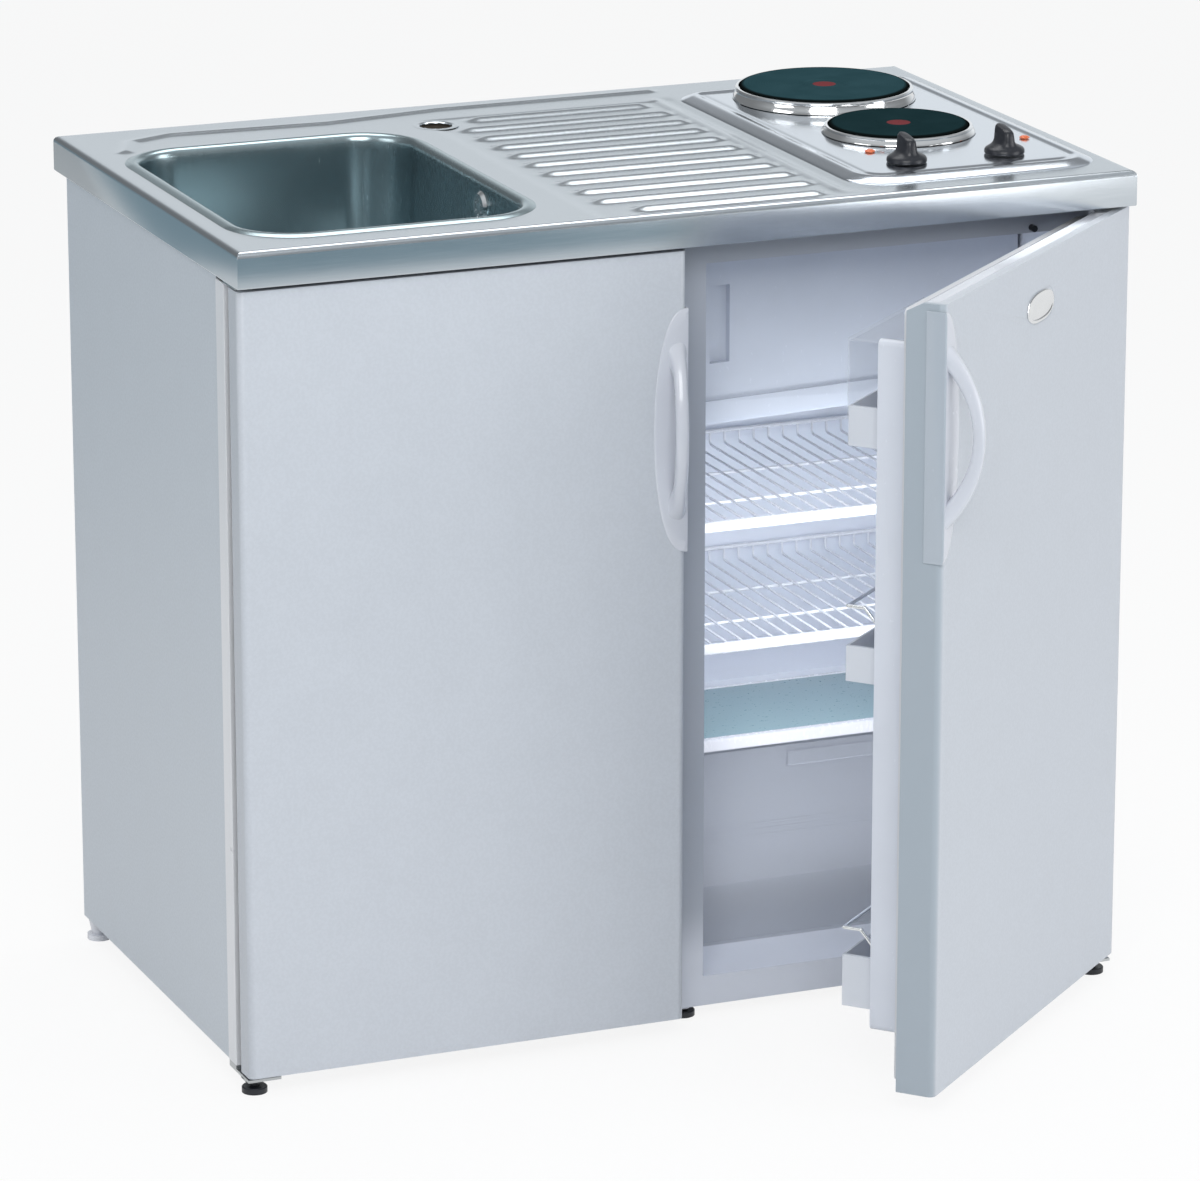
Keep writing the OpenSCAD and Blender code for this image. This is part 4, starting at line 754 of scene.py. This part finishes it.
def make_cover():
    """Glass plate over the crisper with its white front and rear trims."""
    x0, x1 = CAVITY
    front = slab(x0 - 0.5, x1 + 0.5, -156, -144, 267.5, 281, 2.5, 5)
    rear = slab(x0 - 0.5, x1 + 0.5, 23, 28.6, 273.6, 279.8)
    piece("crisper_trim", *join(front, rear), "plastic_white", "carcass", "white_plastic")
    piece("crisper_glass", *slab(x0, x1, -146, 26, 274.2, 278.8, 1.0), "glass", "carcass", "glass",
          ["crisper_cover"])


def make_badge():
    """Blank oval badge in its seat on the refrigerator door: squared ovals from its rim to its middle."""
    c, s = squared(np.linspace(0, 2 * math.pi, 72, endpoint=False), 0.86)
    # half width, half height, height above the face
    sections = [(35.2, 16.2, -0.2), (35.2, 16.2, 0.7), (34.4, 15.4, 1.3), (32.6, 13.6, 1.4),
                (31.6, 12.6, 0.9), (30.6, 11.6, 0.6), (16, 6, 0.75)]
    rings = [np.stack([BADGE[0] + w * c, np.full(len(c), DOOR_FACE - p), BADGE[1] + h * s], -1)
             for w, h, p in sections]
    pts, faces = loft(rings, True, True)
    faces = solid_side(pts - pts.mean(0), faces)
    piece("badge_blank", door_point(pts), faces, "chrome", "fridge_door", "chrome")


def make_chain():
    """Bead chain that sags as a parabola from the overflow rosette down to its rubber plug."""
    bead_r, pitch, cord_r, sag = 1.65, 4.4, 0.55, 46.0
    a, b = np.array(CHAIN_TOP), np.array([*PLUG, 763.0])
    t = np.linspace(0, 1, 60)[:, None]
    path = a + (b - a) * t - np.array([0, 0, sag]) * t * (1 - t)
    step = np.linalg.norm(np.diff(path, axis=0), axis=1)
    along = np.concatenate([[0], np.cumsum(step)])
    at = np.arange(0, along[-1], pitch)
    beads = np.stack([np.interp(at, along, path[:, k]) for k in range(3)], -1)
    lat = np.linspace(-math.pi / 2, math.pi / 2, 8)
    ball, ball_faces = lathe([(max(bead_r * math.cos(v), 0.02), bead_r * math.sin(v)) for v in lat],
                             (0, 0), 12)
    parts = [(ball + bead, ball_faces) for bead in beads]
    parts.append(tube(path, cord_r, 6))
    parts.append(tube([a + [7.4, 0, 1], a + [3.0, 0, 1.4], a], 0.9, 8))
    piece("bead_chain", *join(*parts), "chrome", "carcass", "chrome", ["plug_chain"])
    plug = [(0.3, 751.2), (17.5, 751.2), (18.2, 752), (20, 759.4), (22.6, 760.2), (23, 761.4), (22, 762.6),
            (8, 763), (5, 764.5), (3, 767), (0.3, 767.6)]
    piece("rubber_plug", *lathe(plug, PLUG, 48), "plastic_black", "carcass", "black_plastic")


dress_nodes()
make_worktop()
make_bowl()
make_chain()
make_hob()
make_plates()
make_knobs()
make_handles()
make_shelves()
make_cover()
make_badge()

# ---------------------------------------------------------------- camera
scene = bpy.context.scene
AZIMUTH, ELEVATION = math.radians(22.39), math.radians(16.25)
FOCAL_PX, PHOTO_W_PX, SENSOR_MM = 6314.0, 1200.0, 36.0
DISTANCE, TARGET = 6.843, Vector((0.0094, -0.0089, 0.4168))


def make_camera():
    """Camera that looks at the target from the photograph's azimuth and elevation."""
    back = Vector((-math.sin(AZIMUTH) * math.cos(ELEVATION), -math.cos(AZIMUTH) * math.cos(ELEVATION),
                   math.sin(ELEVATION)))
    cam = bpy.data.objects.new("camera", bpy.data.cameras.new("camera"))
    scene.collection.objects.link(cam)
    cam.data.sensor_width = SENSOR_MM
    cam.data.lens = FOCAL_PX / PHOTO_W_PX * SENSOR_MM
    cam.location = TARGET + back * DISTANCE
    cam.rotation_mode = "QUATERNION"
    cam.rotation_quaternion = (-back).to_track_quat("-Z", "Y")
    cam.data.clip_end = 60
    scene.camera = cam


# ---------------------------------------------------------------- lamps, in metres and watts
COOL, FAINTLY_COOL = (0.93, 0.97, 1.0), (0.95, 0.96, 1.0)
# name: place, aim, size, power, colour, seen in reflections
LAMPS = {
    "key": ((-1.0, -2.7, 2.35), (0, 0, 0.5), (1.8, 1.4), 48, (1, 1, 1), True),
    "low_panel": ((2.6, -3.7, 0.6), (0.45, -0.3, 0.85), (1.5, 1.3), 26, (1, 1, 1), True),
    "side": ((-3.2, -0.6, 1.9), (-0.5, 0, 0.5), (1.6, 1.2), 14, (1, 1, 1), True),
    "fill": ((3.0, -2.4, 1.6), (0.2, 0, 0.5), (1.6, 1.6), 27, (1, 1, 1), True),
    "overhead": ((0.3, 0.6, 2.7), (0.1, 0, 0.9), (2.0, 1.2), 22, (1, 1, 1), True),
    "cabin_lamp": ((0.245, -0.215, 0.50), (0.245, 0.17, 0.44), (0.34, 0.20), 0.80, COOL, False),
    "crisper_lamp": ((0.245, -0.215, 0.20), (0.245, 0.10, 0.29), (0.34, 0.20), 0.22, FAINTLY_COOL, False),
    "flap_lamp": ((0.245, -0.225, 0.66), (0.245, -0.10, 0.80), (0.34, 0.05), 0.03, COOL, False),
}


def make_lamps():
    """Soft rectangular lamps round the unit, and dim ones inside the refrigerator; the camera sees none."""
    for name, (at, to, size, power, colour, to_gloss) in LAMPS.items():
        lamp = bpy.data.lights.new(name, "AREA")
        lamp.shape, lamp.size, lamp.size_y = "RECTANGLE", size[0], size[1]
        lamp.energy, lamp.color = power, colour
        obj = bpy.data.objects.new(name, lamp)
        scene.collection.objects.link(obj)
        obj.location = at
        obj.rotation_mode = "QUATERNION"
        obj.rotation_quaternion = (Vector(to) - Vector(at)).to_track_quat("-Z", "Y")
        obj.visible_camera, obj.visible_glossy = False, to_gloss


# ---------------------------------------------------------------- world and floor
def make_world():
    """Studio walls for the steel to mirror. Behind, bright low on the right and dim on the left; in front,
    dim low and brighter above. Each is a smooth ramp along one axis between two levels or other ramps."""
    world = bpy.data.worlds.new("studio")
    scene.world = world
    world.use_nodes = True
    walls = Nodes(world.node_tree)
    _, x, y, z = walls.place("Generated")
    front = z.ramp(0.1, 0.8, 0.26, 0.60)
    rear_right = z.ramp(0.30, 0.40, 0.92, 0.30)
    rear = x.ramp(-0.15, 0.2, 0.22, rear_right)
    background = world.node_tree.nodes["Background"]
    walls.tree.links.new(y.ramp(0.15, 0.7, front, rear).socket, background.inputs["Strength"])
    background.inputs["Color"].default_value = (*COOL, 1.0)


def make_floor():
    """White floor with dark carpets outside the picture that the steel edges mirror: in front, but for the
    far right, and behind on the left. To the camera it glows plain white for the most part, and to metal and
    glass it glows with the carpets."""
    half, below, glow_share = 30, -0.0005, 0.88
    carpet, pale, white = (0.25, 0.35, 0.40), (0.92, 0.92, 0.92), (1.0, 1.0, 1.0)
    floor = Mat("floor", pale, 0.8)
    across = floor.x.ramp(1.1, 1.9)
    fore = floor.y.ramp(-2.2, -1.5, across, 0.95)
    left_side = floor.x.ramp(-1.2, -0.7, 0.0, 0.95)
    tone = floor.mix(floor.y.ramp(1.5, 2.0, fore, left_side), carpet, pale)
    floor.put("Base Color", tone)
    rays = floor.node("ShaderNodeLightPath").socket.node.outputs
    camera, gloss, through = (V(floor, rays["Is %s Ray" % kind])
                              for kind in ("Camera", "Glossy", "Transmission"))
    glow = floor.node("ShaderNodeEmission",
                      inputs={"Color": floor.mix(camera, tone, white), "Strength": 1.0})
    share = camera.larger(gloss).larger(through) * glow_share
    matt = V(floor, floor.bsdf.outputs[0])
    surface = floor.node("ShaderNodeMixShader", inputs={0: share, 1: matt, 2: glow})
    floor.tree.links.new(surface.socket, floor.tree.nodes["Material Output"].inputs["Surface"])
    me = bpy.data.meshes.new("floor")
    corners = [(-half, -half, below), (half, -half, below), (half, half, below), (-half, half, below)]
    me.from_pydata(corners, [], [(0, 1, 2, 3)])
    me.materials.append(floor.m)
    ground = bpy.data.objects.new("floor", me)
    scene.collection.objects.link(ground)


make_camera()
make_lamps()
make_world()
make_floor()

scene.view_settings.view_transform = "Standard"
